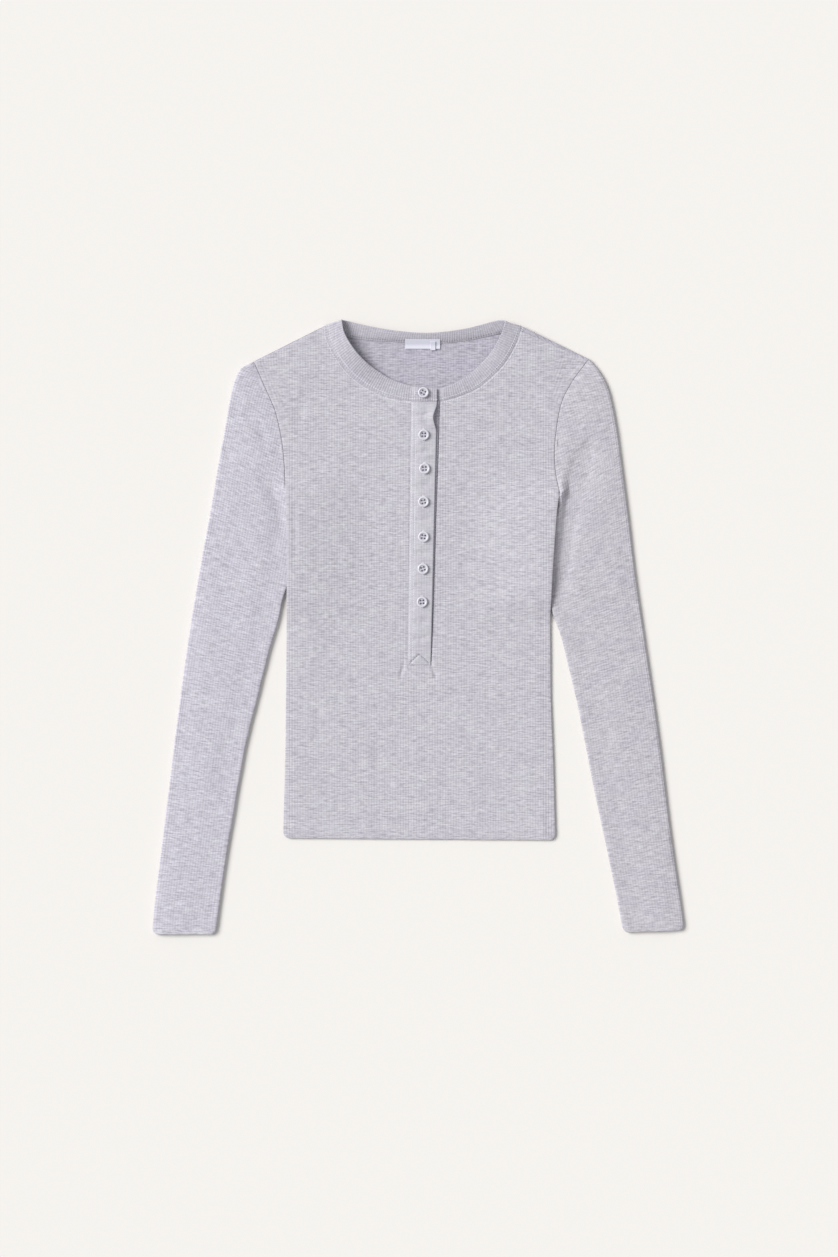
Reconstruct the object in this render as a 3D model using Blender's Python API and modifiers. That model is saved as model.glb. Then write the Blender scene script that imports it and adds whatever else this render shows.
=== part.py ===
"""Henley shirt in fine rib jersey, buttoned and laid flat on its back.

Frame: +Z up, the shirt lies on z = 0, its neck towards +Y, the wearer's right side at -X.
Every size below is in millimetres and MM turns it to metres. Plans are (x, y) seen from above.
The cloth is modelled as sheets through the middle of its thickness, which Solidify makes walls.
"""

import math

import bmesh
import bpy
from mathutils import Vector

MM = 0.001

# ---- cloth -------------------------------------------------------------------------------------
CLOTH = 1.2                 # wall of one layer of rib jersey
BAND_WALL = 1.8             # neckband, the jersey doubled
TOP_STRIP_WALL = 1.8        # top placket strip, doubled
UNDER_STRIP_WALL = 1.6      # under placket strip, doubled
LABEL_WALL = 0.6
SEAM_GAP = 0.3              # clearance between two pieces at a seam

# ---- layers ------------------------------------------------------------------------------------
BACK_MID = CLOTH / 2        # middle of the back panel where it rests
FRONT_MID = 2.7             # middle of the front panel over the body
EDGE_MID = 2.4              # middle of the front panel at its side edges and hem
EDGE_ROLL = 14.0            # width over which the front panel comes down to its edges
SLEEVE_TOP = 3.8            # middle of a sleeve's upper layer beside its folds
SLEEVE_PUFF = 0.8           # how much higher that layer is midway between the folds
OVER_SLEEVE = 5.0           # how far the body's side edges are raised where they lie on a sleeve
LIFT_RAMP = 24.0            # width of the slope up to that raised edge
LIFT_FLAT = 13.0            # width of the raised edge itself
LIFT_SPAN = {               # side: (y where it starts, fully up, fully up, y where it ends)
    -1: (2.0, 30.0, 136.0, 172.0),
    1: (-8.0, 20.0, 128.0, 164.0),
}

# ---- outline of the body, (x, y) from hem to underarm, armhole seam from underarm to shoulder ----
SIDE = {
    -1: [(-143.4, -223.7), (-141.2, -151.6), (-140.0, -60.0), (-139.3, 30.0), (-139.5, 100.0),
         (-140.9, 150.5)],
    1: [(145.5, -225.8), (143.6, -151.6), (140.6, -77.0), (139.9, 10.0), (142.5, 62.0),
        (146.6, 120.0), (149.6, 142.0)],
}
ARMHOLE = {
    -1: [(-140.9, 150.5), (-141.9, 172.0), (-144.6, 198.0), (-151.6, 229.0), (-161.5, 252.0),
         (-174.1, 280.9)],
    1: [(149.6, 142.0), (145.2, 166.0), (144.8, 195.0), (150.8, 234.0), (162.0, 258.0),
        (180.3, 283.3)],
}
HEM_CORNER = 7.0            # radius of the hem's corners in plan
HEM_STEPS = (0.0, 0.9, 2.8, 7.0)
HEM_CORNER_SHARE = 8.0      # the corner is drawn in over one part in this many of the width

# ---- neck --------------------------------------------------------------------------------------
NECK_SEAM = {               # front panel's neck edge, from the shoulder corner down to the placket
    -1: [(-97.1, 319.1), (-95.2, 304.0), (-86.6, 286.5), (-73.4, 269.2), (-57.1, 255.9),
         (-38.0, 246.0), (-21.0, 241.2), (-7.2, 239.2)],
    1: [(108.9, 318.1), (104.0, 301.9), (92.5, 281.5), (78.8, 266.1), (62.6, 253.1),
        (44.7, 245.2), (33.0, 241.6), (23.0, 239.2)],
}
NECK_FREE = {               # free edge of the band in front, beside the points of NECK_SEAM
    -1: [(-80.6, 324.2), (-78.4, 312.0), (-71.4, 298.8), (-61.6, 286.4), (-48.6, 275.0),
         (-31.5, 264.0), (-17.8, 258.2), (-6.0, 254.8)],
    1: [(91.4, 321.6), (87.3, 309.0), (78.0, 292.2), (67.0, 279.4), (53.0, 266.6),
        (38.6, 258.2), (29.6, 254.6), (23.4, 252.6)],
}
# Band from the left shoulder corner round the back of the neck to the right one:
# seam x, seam y, seam z, free x, free y, free z, crown (z of the band's middle above the table)
BACK_BAND = [
    (-95.6, 317.0, 4.6, -79.9, 324.4, 7.4, 0.0),
    (-88.0, 312.6, 2.6, -76.6, 324.2, 6.4, 0.0),
    (-78.0, 308.0, 1.8, -71.4, 323.0, 5.8, 0.2),
    (-66.0, 305.3, 1.5, -62.6, 320.8, 5.8, 0.5),
    (-44.0, 303.2, 1.5, -40.0, 316.2, 7.6, 0.8),
    (-20.0, 301.9, 1.5, -16.2, 312.8, 9.6, 0.9),
    (7.0, 300.9, 1.5, 7.2, 311.2, 10.4, 0.9),
    (30.0, 301.0, 1.5, 30.5, 312.8, 9.8, 0.9),
    (52.7, 303.5, 1.5, 52.0, 316.2, 8.6, 0.8),
    (72.0, 307.6, 1.6, 68.4, 320.4, 7.6, 0.5),
    (88.6, 311.4, 1.9, 80.6, 323.8, 7.0, 0.2),
    (99.6, 314.4, 2.8, 87.6, 324.5, 7.0, 0.0),
    (106.6, 316.6, 4.4, 92.0, 323.4, 7.4, 0.0),
]
NECK_LIFT = {               # rise of the front panel at each neck corner, and how far it reaches
    -1: {"at": (-92.0, 318.0), "rise": 3.9, "reach": 85.0},
    1: {"at": (104.0, 316.0), "rise": 3.6, "reach": 80.0},
}
SCOOP_LIFT = {"at": (8.0, 246.0), "rise": 1.0, "reach": 90.0}
BAND_TILT = (2.6, 0.8)      # free edge above its seam in front: at the neck corners, at the placket
BAND_CROWN = 0.7            # bulge of the band across its width in front
LAP_RISE = 2.1              # how far the band's top end and the top strip ride above what they lap
LAP_BEND = 6.0              # length of the bend up to that height
LAP_FOOT = 10.0             # length over which the top strip comes down to its foot
BAND_WIDTH = 16.0
UNDER_END = [               # under end of the band: x, seam y, free y
    (-3.0, 239.4, 254.8), (6.0, 239.3, 254.0), (15.0, 239.2, 253.2),
]
TOP_END = [                 # top end of the band: x, seam y, free y, part of the lap's rise
    (-3.6, 239.2, 254.5, 0.62), (-0.6, 239.2, 254.1, 1.0), (9.5, 238.8, 253.0, 1.0),
    (19.9, 238.4, 252.3, 1.0),
]

# ---- shoulders ---------------------------------------------------------------------------------
SHOULDER_TIP = {-1: (-174.1, 280.9), 1: (180.3, 283.3)}
SHOULDER_WRAP = {-1: (0.6, 0.6), 1: (3.6, 0.8)}     # back cloth brought to the front: neck, tip
SHOULDER_STEPS = (8.0, 3.0, 1.0)                    # rows this far from the shoulder line
SHOULDER_RISE = {"rise": 0.8, "reach": 20.0}        # of the front panel towards that line
WRAP_GAP = 0.6              # from the wrapped back cloth to the front panel's edge
WRAP_EDGE = 1.0             # plan length of that cloth taken up by its fold
FOLD_SLOPE = (0.45, 0.9)    # direction from the front over the fold, x outwards and y
FOLD_RISE = {"over": 0.8, "under": 0.45}    # part of the rise reached at the fold itself
BACK_DRAWN_IN = 1.0         # how far the back panel's shoulder line is drawn in
BACK_MIDDLE = (-1.0, 1.0)   # x of the two columns either side of the back's middle

# ---- placket -----------------------------------------------------------------------------------
SLOT_TOP = (-7.2, 23.0)     # left and right side of the slit at the neck seam
SLOT_FOOT = (-11.0, 13.6)   # and at its foot
SLOT_FOOT_Y = -40.0
NECK_Y = 239.2              # neck seam at the slit
STRIP_EDGE = {"top": 19.9, "foot": 13.2}            # free edge of the top strip
STRIP_DIP = {"y": 222.0, "reach": 14.0, "depth": 2.6}   # where that edge gapes below the neckband
UNDER_STRIP_START = 6.5     # the under strip begins this far from the slit's left side
STRIP_HEAD = {"drop": 0.9, "reach": 30.0}   # how much lower its head is at the free edge
STRIP_STOPS = (0.0, 0.12, 0.26, 0.62, 1.0)  # its columns, as parts of its width
STRIP_TURN_UP = 4.0         # its second row is this far above its foot
UNDER_FOOT = 13.0           # the under strip ends this far above the slit's foot

# ---- sleeves: outer and inner edge from shoulder to cuff ------------------------------------------
SLEEVE_OUTER = {
    -1: [(-176.6, 279.5), (-188.9, 272.0), (-197.4, 250.0), (-204.4, 212.0), (-210.8, 177.0),
         (-220.8, 118.7), (-232.4, 55.1), (-245.1, -24.4), (-257.9, -119.8), (-269.5, -215.2),
         (-279.4, -294.7), (-281.7, -325.4)],
    1: [(182.8, 281.3), (192.4, 270.0), (202.0, 250.0), (209.6, 214.1), (214.6, 178.0),
        (222.3, 118.7), (229.8, 55.1), (241.4, -24.4), (255.2, -119.8), (266.9, -215.2),
        (278.5, -294.7), (281.7, -321.0)],
}
SLEEVE_INNER = {            # below the underarm, first under the body's edge and then clear of it
    -1: [(-140.9, 150.5), (-141.6, 138.0), (-136.0, 118.0), (-131.4, 88.0), (-133.4, 58.0),
         (-142.3, 31.8), (-147.6, 7.4), (-157.1, -24.4), (-169.0, -72.1), (-181.0, -119.8),
         (-190.0, -167.5), (-205.9, -262.9), (-214.4, -325.4)],
    1: [(149.6, 142.0), (149.2, 129.0), (141.0, 108.0), (134.6, 80.0), (134.0, 48.0),
        (140.4, 20.1), (150.6, -8.5), (158.7, -40.3), (170.2, -90.0), (185.2, -167.5),
        (205.4, -262.9), (217.2, -323.4)],
}
CUFF_CORNER = 6.0           # radius of a cuff's corners in plan
CUFF_STEPS = (6.0, 2.4, 0.7, 0.0)
SLEEVE_CAP = 108.0          # length of the outer edge from the shoulder to beside the underarm
UNDERARM_STEP = 12.5        # first closed section below the underarm
FOLD_REACH = 1.7            # how far in from a fold the layers are flat
PUFF_START, PUFF_REACH = 16.0, 20.0
SEAM_BLEND = 16.0           # width over which a sleeve comes to the height of the armhole seam

# ---- label, buttons ------------------------------------------------------------------------------
LABEL_SIDES = (-13.7, 23.3)
LABEL_PROFILE = [(294.7, 1.8), (297.4, 1.8), (299.2, 2.3), (301.0, 3.7), (303.4, 6.2)]  # y, z
SIZE_TAB_SIDES = (13.0, 18.2)
SIZE_TAB_PROFILE = [(293.0, 2.6), (296.6, 2.8), (298.4, 3.3), (300.2, 4.7), (302.4, 7.0)]
BUTTON_DIAMETER = 11.4
BUTTON_THICK = 2.4
BUTTON_RIM = 1.9            # width of the raised rim
BUTTON_PLATE = 1.5          # thickness of the sunk middle
BUTTON_CLEAR = 0.1          # from the strip, more than the seam gap
BUTTON_REACH = 5.0          # the strip's height is taken this far round a button's middle
BUTTON_LEAN = 0.8           # part of the band's tilt that the top button sits on
BUTTON_FACE = (0.3, 0.25)   # half width and height of the step from the plate up to the rim
BUTTON_RIM_TOP = (0.8, 0.6, 0.1)    # the rim's crest begins, ends before the edge, and falls
BUTTON_WAIST = 0.55         # height of the widest line, as a part of the thickness
BUTTON_FOOT = ((0.5, 0.15), (1.2, 0.0))     # inwards from the edge and up from the back
BUTTON_SIDES = 28
HOLE_SIDES = 10
HOLE_DIAMETER = 1.5
HOLE_SPACING = 2.7
DRILL_LENGTH = 4.0
BUTTONS = [                 # x, y, turn of the holes in degrees, from the neck down
    (5.4, 247.9, -29.0), (5.8, 203.3, 0.0), (6.6, 167.5, 4.0), (5.6, 132.5, 12.0),
    (5.6, 95.4, -8.0), (5.0, 61.5, 20.0), (4.0, 26.5, 6.0),
]

# ---- mesh density --------------------------------------------------------------------------------
SHOULDER_CELLS = 4
SHOULDER_FOOT = 0.2         # part of a half's width below the shoulder's columns
NECK_CELLS = 7
SLOT_CELLS = 2
LOWER_ROWS = 5              # between the hem's corner and the placket's foot
SIDE_ROWS = 6               # from the placket's foot to the underarm
ARM_ROWS = 7                # from the underarm to the shoulder's roll
SLEEVE_ROWS = 15            # below the underarm
SLEEVE_CELLS = 4            # across a sleeve between its folds
BAND_CELLS = 3              # across the neckband
STRIP_ROWS = 14             # along the top placket strip
UNDER_ROWS = 10             # along the under placket strip


# ==================================================================================================
# curves and easing
# ==================================================================================================
def lerp(a, b, t):
    return a + (b - a) * t


def mix(p, q, t):
    return tuple(lerp(a, b, t) for a, b in zip(p, q))


def ease(t):
    """0 to 1, level at both ends."""
    t = min(max(t, 0.0), 1.0)
    return t * t * (3.0 - 2.0 * t)


def spline_point(points, t):
    """Point at t (0 to 1 over the points) of a Catmull-Rom curve through them."""
    spans = len(points) - 1
    place = min(max(t, 0.0), 1.0) * spans
    i = min(int(place), spans - 1)
    u = place - i
    p1, p2 = points[i], points[i + 1]
    p0 = points[i - 1] if i > 0 else tuple(2 * a - b for a, b in zip(p1, p2))
    p3 = points[i + 2] if i + 2 <= spans else tuple(2 * b - a for a, b in zip(p1, p2))
    return tuple(
        0.5 * (2 * b + (c - a) * u + (2 * a - 5 * b + 4 * c - d) * u * u
               + (3 * b - a - 3 * c + d) * u ** 3)
        for a, b, c, d in zip(p0, p1, p2, p3))


def curve_samples(points, fractions, steps=400):
    """Points at the given fractions of a curve's length."""
    dense = [spline_point(points, k / steps) for k in range(steps + 1)]
    run = [0.0]
    for a, b in zip(dense, dense[1:]):
        run.append(run[-1] + math.dist(a, b))
    found = []
    k = 0
    for fraction in fractions:
        want = fraction * run[-1]
        while k < steps - 1 and run[k + 1] < want:
            k += 1
        found.append(mix(dense[k], dense[k + 1], (want - run[k]) / (run[k + 1] - run[k])))
    return found


def curve_length(points):
    dense = [spline_point(points, k / 200) for k in range(201)]
    return sum(math.dist(a, b) for a, b in zip(dense, dense[1:]))


def even(count):
    return [k / count for k in range(count + 1)]


def corner_inset(distance, radius):
    """How far a rounded corner has drawn in at this distance from the end."""
    if distance >= radius:
        return 0.0
    return radius - math.sqrt(radius ** 2 - (radius - distance) ** 2)


# ==================================================================================================
# heights
# ==================================================================================================
def side_x(side, y):
    """x of the body's side edge at y, straight on above the underarm."""
    points = SIDE[side]
    for (x0, y0), (x1, y1) in zip(points, points[1:]):
        if y <= y1:
            return lerp(x0, x1, (y - y0) / (y1 - y0))
    return points[-1][0]


def side_lift(x, y):
    """Rise of both panels where the body's side edge lies on a sleeve."""
    side = -1 if x < 0 else 1
    start, up, up_end, end = LIFT_SPAN[side]
    along = ease((y - start) / (up - start)) * (1.0 - ease((y - up_end) / (end - up_end)))
    inside = abs(side_x(side, y)) - abs(x)
    across = 1.0 - ease((inside - LIFT_FLAT) / LIFT_RAMP)
    return OVER_SLEEVE * along * across


def bump(x, y, at, rise, reach):
    away = math.dist((x, y), at) / reach
    return rise * (1.0 - ease(away))


def shoulder_rise(x, y):
    """Rise of the front panel where it comes over the curled edge of the back."""
    side = -1 if x < 0 else 1
    (tx, ty), (cx, cy) = SHOULDER_TIP[side], NECK_SEAM[side][0]
    away = abs((cx - tx) * (y - ty) - (cy - ty) * (x - tx)) / math.dist((tx, ty), (cx, cy))
    return SHOULDER_RISE["rise"] * (1.0 - ease(away / SHOULDER_RISE["reach"]))


def back_height(x, y):
    return BACK_MID + side_lift(x, y)


def front_height(x, y):
    """Middle of the front panel above the table."""
    side = -1 if x < 0 else 1
    inside = max(abs(side_x(side, y)) - abs(x), 0.0, y - SIDE[side][-1][1] + EDGE_ROLL)
    hem = max(y - SIDE[side][0][1], 0.0)
    roll = ease(min(inside, hem) / EDGE_ROLL)
    z = lerp(EDGE_MID, FRONT_MID, roll) + side_lift(x, y)
    for lift in NECK_LIFT.values():
        z += bump(x, y, **lift)
    return z + bump(x, y, **SCOOP_LIFT) + shoulder_rise(x, y)


# ==================================================================================================
# meshes
# ==================================================================================================
def sheet_object(name, collection, points, faces, wall, material):
    """A sheet through the middle of the cloth, made a wall by Solidify. Points in millimetres."""
    mesh = bpy.data.meshes.new(name)
    mesh.from_pydata([Vector(p) * MM for p in points], [], faces)
    work = bmesh.new()
    work.from_mesh(mesh)
    bmesh.ops.remove_doubles(work, verts=work.verts, dist=0.02 * MM)
    bmesh.ops.recalc_face_normals(work, faces=work.faces)
    work.to_mesh(mesh)
    work.free()
    mesh.materials.append(material)
    mesh.shade_smooth()
    piece = bpy.data.objects.new(name, mesh)
    collection.objects.link(piece)
    solidify = piece.modifiers.new("cloth wall", "SOLIDIFY")
    solidify.thickness = wall * MM
    solidify.offset = 0.0
    solidify.use_even_offset = True
    solidify.use_quality_normals = True
    return piece


def grid_faces(rows, keep=lambda row, cell: True):
    """Quads over a list of rows of point numbers. keep says which cells there are."""
    faces = []
    for j, (low, high) in enumerate(zip(rows, rows[1:])):
        for i in range(len(low) - 1):
            if keep(j, i):
                corners = (low[i], low[i + 1], high[i + 1], high[i])
                faces.append(tuple(dict.fromkeys(corners)))
    return faces


def patch(rows):
    """Points and quads of a plain grid of 3-D points."""
    width = len(rows[0])
    numbers = [list(range(j * width, (j + 1) * width)) for j in range(len(rows))]
    return [p for row in rows for p in row], grid_faces(numbers)


def cloth_material(name, colour, roughness):
    material = bpy.data.materials.new(name)
    material.use_nodes = True
    shader = material.node_tree.nodes["Principled BSDF"]
    shader.inputs["Base Color"].default_value = (*colour, 1.0)
    shader.inputs["Roughness"].default_value = roughness
    shader.inputs["Metallic"].default_value = 0.0
    return material


# ==================================================================================================
# plan of the panels
# ==================================================================================================
def armhole_fractions(side):
    """Rows along the armhole seam: even ones, then the close ones at the shoulder's roll."""
    length = curve_length(ARMHOLE[side])
    last = 1.0 - SHOULDER_STEPS[0] / length
    close = [1.0 - step / length for step in SHOULDER_STEPS[1:]]
    return [last * k / ARM_ROWS for k in range(ARM_ROWS + 1)] + close + [1.0]


def armhole_points(side):
    return curve_samples(ARMHOLE[side], armhole_fractions(side))


def upper_edge(side):
    """Side edge from the placket's foot to the underarm, then the armhole seam."""
    top_y = SIDE[side][-1][1]
    below = []
    for k in range(SIDE_ROWS):
        y = lerp(SLOT_FOOT_Y, top_y, k / SIDE_ROWS)
        below.append((side_x(side, y), y))
    return below + armhole_points(side)


def body_half(side, neck_points, inner_foot, inner_top, shoulder_in):
    """Rows of plan points of one half of a panel above the placket's foot.

    Columns run from the side edge to the middle. shoulder_in(s) says how far the shoulder line is
    drawn in, with s from 0 at the shoulder tip to 1 at the neck corner.
    """
    edge = upper_edge(side)
    tip, corner = SHOULDER_TIP[side], neck_points[0]
    along = Vector((corner[0] - tip[0], corner[1] - tip[1])).normalized()
    inward = Vector((along.y, -along.x)) if side < 0 else Vector((-along.y, along.x))
    top = []
    for k in range(SHOULDER_CELLS):
        point = Vector(mix(tip, corner, k / SHOULDER_CELLS)) + inward * shoulder_in(k / SHOULDER_CELLS)
        top.append(tuple(point))
    top += neck_points
    columns = len(top) - 1
    parts = [SHOULDER_FOOT * k / SHOULDER_CELLS for k in range(SHOULDER_CELLS)]
    parts += [lerp(SHOULDER_FOOT, 1.0, k / NECK_CELLS) for k in range(NECK_CELLS + 1)]
    foot = [mix(edge[0], (inner_foot, SLOT_FOOT_Y), part) for part in parts]
    low_y, high_y = edge[0][1], edge[-1][1]
    rows = []
    for x_edge, y_edge in edge:
        t = (y_edge - low_y) / (high_y - low_y)
        bend = x_edge - lerp(edge[0][0], edge[-1][0], t)
        row = []
        for i in range(columns + 1):
            x, y = mix(foot[i], top[i], t)
            row.append((x + bend * max(0.0, 1.0 - i / SHOULDER_CELLS), y))
        row[-1] = (lerp(inner_foot, inner_top, t), lerp(SLOT_FOOT_Y, top[-1][1], t))
        rows.append(row)
    return rows


def lower_rows(columns_x):
    """Rows of the body from the hem to the placket's foot, for columns at these x at the foot."""
    left_hem, right_hem = SIDE[-1][0], SIDE[1][0]
    span = columns_x[-1] - columns_x[0]
    steps = list(HEM_STEPS)
    reach = SLOT_FOOT_Y - left_hem[1]
    steps += [lerp(HEM_STEPS[-1], reach, k / LOWER_ROWS) for k in range(1, LOWER_ROWS)]
    rows = []
    for step in steps:
        row = []
        for x_foot in columns_x:
            s = (x_foot - columns_x[0]) / span
            hem_y = lerp(left_hem[1], right_hem[1], s)
            y = lerp(hem_y, SLOT_FOOT_Y, step / reach)
            x = lerp(side_x(-1, y), side_x(1, y), s)
            drawn = corner_inset(step, HEM_CORNER)
            x += drawn * max(0.0, 1.0 - HEM_CORNER_SHARE * s)
            x -= drawn * max(0.0, 1.0 - HEM_CORNER_SHARE * (1.0 - s))
            row.append((x, y))
        rows.append(row)
    return rows


def panel_rows(necks, slot_foot, slot_top, shoulder_in):
    """All rows of a panel, and the first row above the placket's foot."""
    left = body_half(-1, necks[-1], slot_foot[0], slot_top[0], lambda s: shoulder_in(-1, s))
    right = body_half(1, necks[1], slot_foot[1], slot_top[1], lambda s: shoulder_in(1, s))
    upper = []
    for row_l, row_r in zip(left, right):
        between = [mix(row_l[-1], row_r[-1], k / SLOT_CELLS) for k in range(1, SLOT_CELLS)]
        upper.append(row_l + between + row_r[::-1])
    lower = lower_rows([p[0] for p in upper[0]])
    return lower + upper, len(lower)


def neck_stations(side):
    return curve_samples(NECK_SEAM[side], even(NECK_CELLS))


def back_neck(side):
    """The back panel's neck edge from a shoulder corner to the middle of the back."""
    points = [(row[0], row[1] - SEAM_GAP) for row in BACK_BAND]
    corner = NECK_SEAM[side][0]
    half = points[1:7] if side < 0 else points[6:-1][::-1]
    return curve_samples([corner] + half, even(NECK_CELLS))


def inset_rows(rows, gap):
    """Draw a panel's side and armhole edges in by this gap."""
    for row in rows:
        row[0] = (row[0][0] + gap, row[0][1])
        row[-1] = (row[-1][0] - gap, row[-1][1])
    return rows


def make_front(collection, material):
    def shoulder_in(side, s):
        neck, tip = SHOULDER_WRAP[side]
        return lerp(tip, neck, s) + WRAP_GAP if side > 0 else CLOTH / 2

    rows, foot_row = panel_rows(
        {side: neck_stations(side) for side in (-1, 1)}, SLOT_FOOT, SLOT_TOP, shoulder_in)
    inset_rows(rows, SEAM_GAP / 2)
    half = SHOULDER_CELLS + NECK_CELLS
    width = len(rows[0])
    points = []
    numbers = []
    for row in rows:
        numbers.append(list(range(len(points), len(points) + width)))
        points += [(x, y, front_height(x, y)) for x, y in row]

    def keep(j, i):
        return j < foot_row or i < half or i >= half + SLOT_CELLS

    return sheet_object("front_panel", collection, points, grid_faces(numbers, keep), CLOTH, material)


def make_back(collection, material):
    rows, _ = panel_rows({side: back_neck(side) for side in (-1, 1)},
                         BACK_MIDDLE, BACK_MIDDLE, lambda side, s: BACK_DRAWN_IN)
    inset_rows(rows, SEAM_GAP / 2)
    width = len(rows[0])
    points = []
    numbers = []
    for row in rows:
        numbers.append(list(range(len(points), len(points) + width)))
        points += [(x, y, back_height(x, y)) for x, y in row]
    # the shoulder edge curls up to the front panel, and on one side over to the front
    last = numbers[-1]
    extra = list(last)
    for i in range(width):
        side = -1 if i < width // 2 else 1
        k = i if side < 0 else width - 1 - i
        if k >= SHOULDER_CELLS:
            continue
        s = k / SHOULDER_CELLS
        x, y, z = points[last[i]]
        wrap = lerp(SHOULDER_WRAP[side][1], SHOULDER_WRAP[side][0], s)
        over = wrap > 2 * CLOTH
        rise = front_height(x, y) - (0.0 if over else CLOTH / 2 + SEAM_GAP)
        points[last[i]] = (x, y, lerp(z, rise, FOLD_RISE["over" if over else "under"]))
        reach = wrap - WRAP_EDGE
        extra[i] = len(points)
        points.append((x - side * FOLD_SLOPE[0] * reach, y - FOLD_SLOPE[1] * reach, rise))
    numbers.append(extra)

    def keep(j, i):
        if j < len(rows) - 1:
            return True
        return i < SHOULDER_CELLS or i >= width - 1 - SHOULDER_CELLS

    return sheet_object("back_panel", collection, points, grid_faces(numbers, keep), CLOTH, material)


# ==================================================================================================
# sleeves
# ==================================================================================================
def sleeve_stations(side):
    """Pairs of inner and outer plan points from the shoulder to the cuff, and the underarm's row."""
    arm = armhole_points(side)[::-1]
    arm_parts = [1.0 - f for f in armhole_fractions(side)[::-1]]
    outer_length = curve_length(SLEEVE_OUTER[side])
    inner_length = curve_length(SLEEVE_INNER[side])
    underarm = SLEEVE_CAP / outer_length
    fall = [UNDERARM_STEP / inner_length]
    last = 1.0 - CUFF_STEPS[0] / inner_length
    fall += [lerp(fall[0], last, k / SLEEVE_ROWS) for k in range(1, SLEEVE_ROWS + 1)]
    fall += [1.0 - step / inner_length for step in CUFF_STEPS[1:]]
    inner = arm + curve_samples(SLEEVE_INNER[side], fall)
    outer_parts = [underarm * part for part in arm_parts]
    outer_parts += [lerp(underarm, 1.0, part) for part in fall]
    for k, step in enumerate(CUFF_STEPS):
        outer_parts[len(outer_parts) - len(CUFF_STEPS) + k] = 1.0 - step / outer_length
    outer = curve_samples(SLEEVE_OUTER[side], outer_parts)
    return inner, outer, len(arm) - 1


def sleeve_section(side, inner, outer, joined, drawn):
    """Points round a sleeve from its upper inner edge over and under to its lower inner edge.

    joined is 1 where the section is sewn to the armhole, 0 where it is a closed tube.
    """
    half = CLOTH / 2
    a = Vector(inner)
    b = Vector(outer)
    across = (b - a).normalized()
    a = a + across * (drawn + (1.5 * SEAM_GAP if joined else half))
    b = b - across * (drawn + half)
    width = (b - a).length
    fold = min(FOLD_REACH, 0.25 * width)
    seam_top = front_height(*inner)
    seam_low = back_height(*inner)
    fold_mid = (BACK_MID + SLEEVE_TOP) / 2

    def place(distance, z):
        p = a + across * distance
        return (p.x, p.y, z)

    def upper(distance):
        puff = ease((distance - PUFF_START) / PUFF_REACH) * ease((width - distance) / PUFF_REACH)
        own = SLEEVE_TOP + SLEEVE_PUFF * puff
        return lerp(own, seam_top, joined * (1.0 - ease(distance / SEAM_BLEND)))

    def lower(distance):
        return lerp(BACK_MID, seam_low, joined * (1.0 - ease(distance / SEAM_BLEND)))

    stops = [fold] + [lerp(fold, width - fold, k / SLEEVE_CELLS) for k in range(1, SLEEVE_CELLS)]
    stops.append(width - fold)
    over = [place(d, upper(d)) for d in stops]
    under = [place(d, lower(d)) for d in reversed(stops)]
    far = [place(width, (upper(width) + lower(width)) / 2)]
    if joined:
        return [place(0.0, upper(0.0))] + over + far + under + [place(0.0, lower(0.0))]
    near = place(0.0, fold_mid)
    return [near] + over + far + under + [near]


def make_sleeve(side, name, collection, material):
    inner, outer, underarm = sleeve_stations(side)
    rows = []
    for k, (a, b) in enumerate(zip(inner, outer)):
        from_end = k - (len(inner) - len(CUFF_STEPS))
        drawn = corner_inset(CUFF_STEPS[from_end], CUFF_CORNER) if from_end >= 0 else 0.0
        rows.append(sleeve_section(side, a, b, 1 if k <= underarm else 0, drawn))
    points, faces = patch(rows)
    return sheet_object(name, collection, points, faces, CLOTH, material)


# ==================================================================================================
# neckband and placket
# ==================================================================================================
def band_sections():
    """Seam point, free point, crown and lap for each section, from the under end to the top end."""
    sections = []
    for x, seam_y, free_y in UNDER_END:
        z = front_height(x, seam_y)
        sections.append(((x, seam_y, z), (x, free_y, z + BAND_TILT[1]), BAND_CROWN, 0.0))

    def front(side):
        seams = neck_stations(side)
        frees = curve_samples(NECK_FREE[side], even(NECK_CELLS))
        found = []
        for k, (seam, free) in enumerate(zip(seams, frees)):
            z = front_height(*seam)
            tilt = lerp(BAND_TILT[0], BAND_TILT[1], ease(2.0 * k / NECK_CELLS))
            found.append(((*seam, z), (*free, z + tilt), BAND_CROWN * ease(k / 2), 0.0))
        return found

    sections += front(1)[::-1]
    for sx, sy, sz, fx, fy, fz, crown in reversed(BACK_BAND):
        sections.append(((sx, sy, sz), (fx, fy, fz), crown, 0.0))
    sections += front(-1)
    for x, seam_y, free_y, lap in TOP_END:
        z = front_height(x, seam_y)
        rise = lap * LAP_RISE
        sections.append(((x, seam_y, z + rise), (x, free_y, z + BAND_TILT[1] + rise), BAND_CROWN, lap))
    return sections


def band_point(section, w):
    """Middle of the band at w, 0 at the seam and 1 at the free edge."""
    seam, free, crown, _ = section
    x, y, z = mix(seam, free, w)
    return (x, y, z + crown * 4.0 * w * (1.0 - w))


def make_neckband(collection, material):
    start = 2.0 * SEAM_GAP / BAND_WIDTH
    rows = []
    for section in band_sections():
        rows.append([band_point(section, lerp(start, 1.0, k / BAND_CELLS))
                     for k in range(BAND_CELLS + 1)])
    points, faces = patch(rows)
    return sheet_object("neckband", collection, points, faces, BAND_WALL, material)


def slot_side(which, y):
    t = (y - SLOT_FOOT_Y) / (NECK_Y - SLOT_FOOT_Y)
    return lerp(SLOT_FOOT[which], SLOT_TOP[which], t)


def strip_edge(y):
    """Free edge of the top strip, with the gape below the neckband."""
    t = (y - SLOT_FOOT_Y) / (NECK_Y - SLOT_FOOT_Y)
    dip = STRIP_DIP["depth"] * (1.0 - ease(abs(y - STRIP_DIP["y"]) / STRIP_DIP["reach"]))
    return lerp(STRIP_EDGE["foot"], STRIP_EDGE["top"], t) - dip


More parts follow.
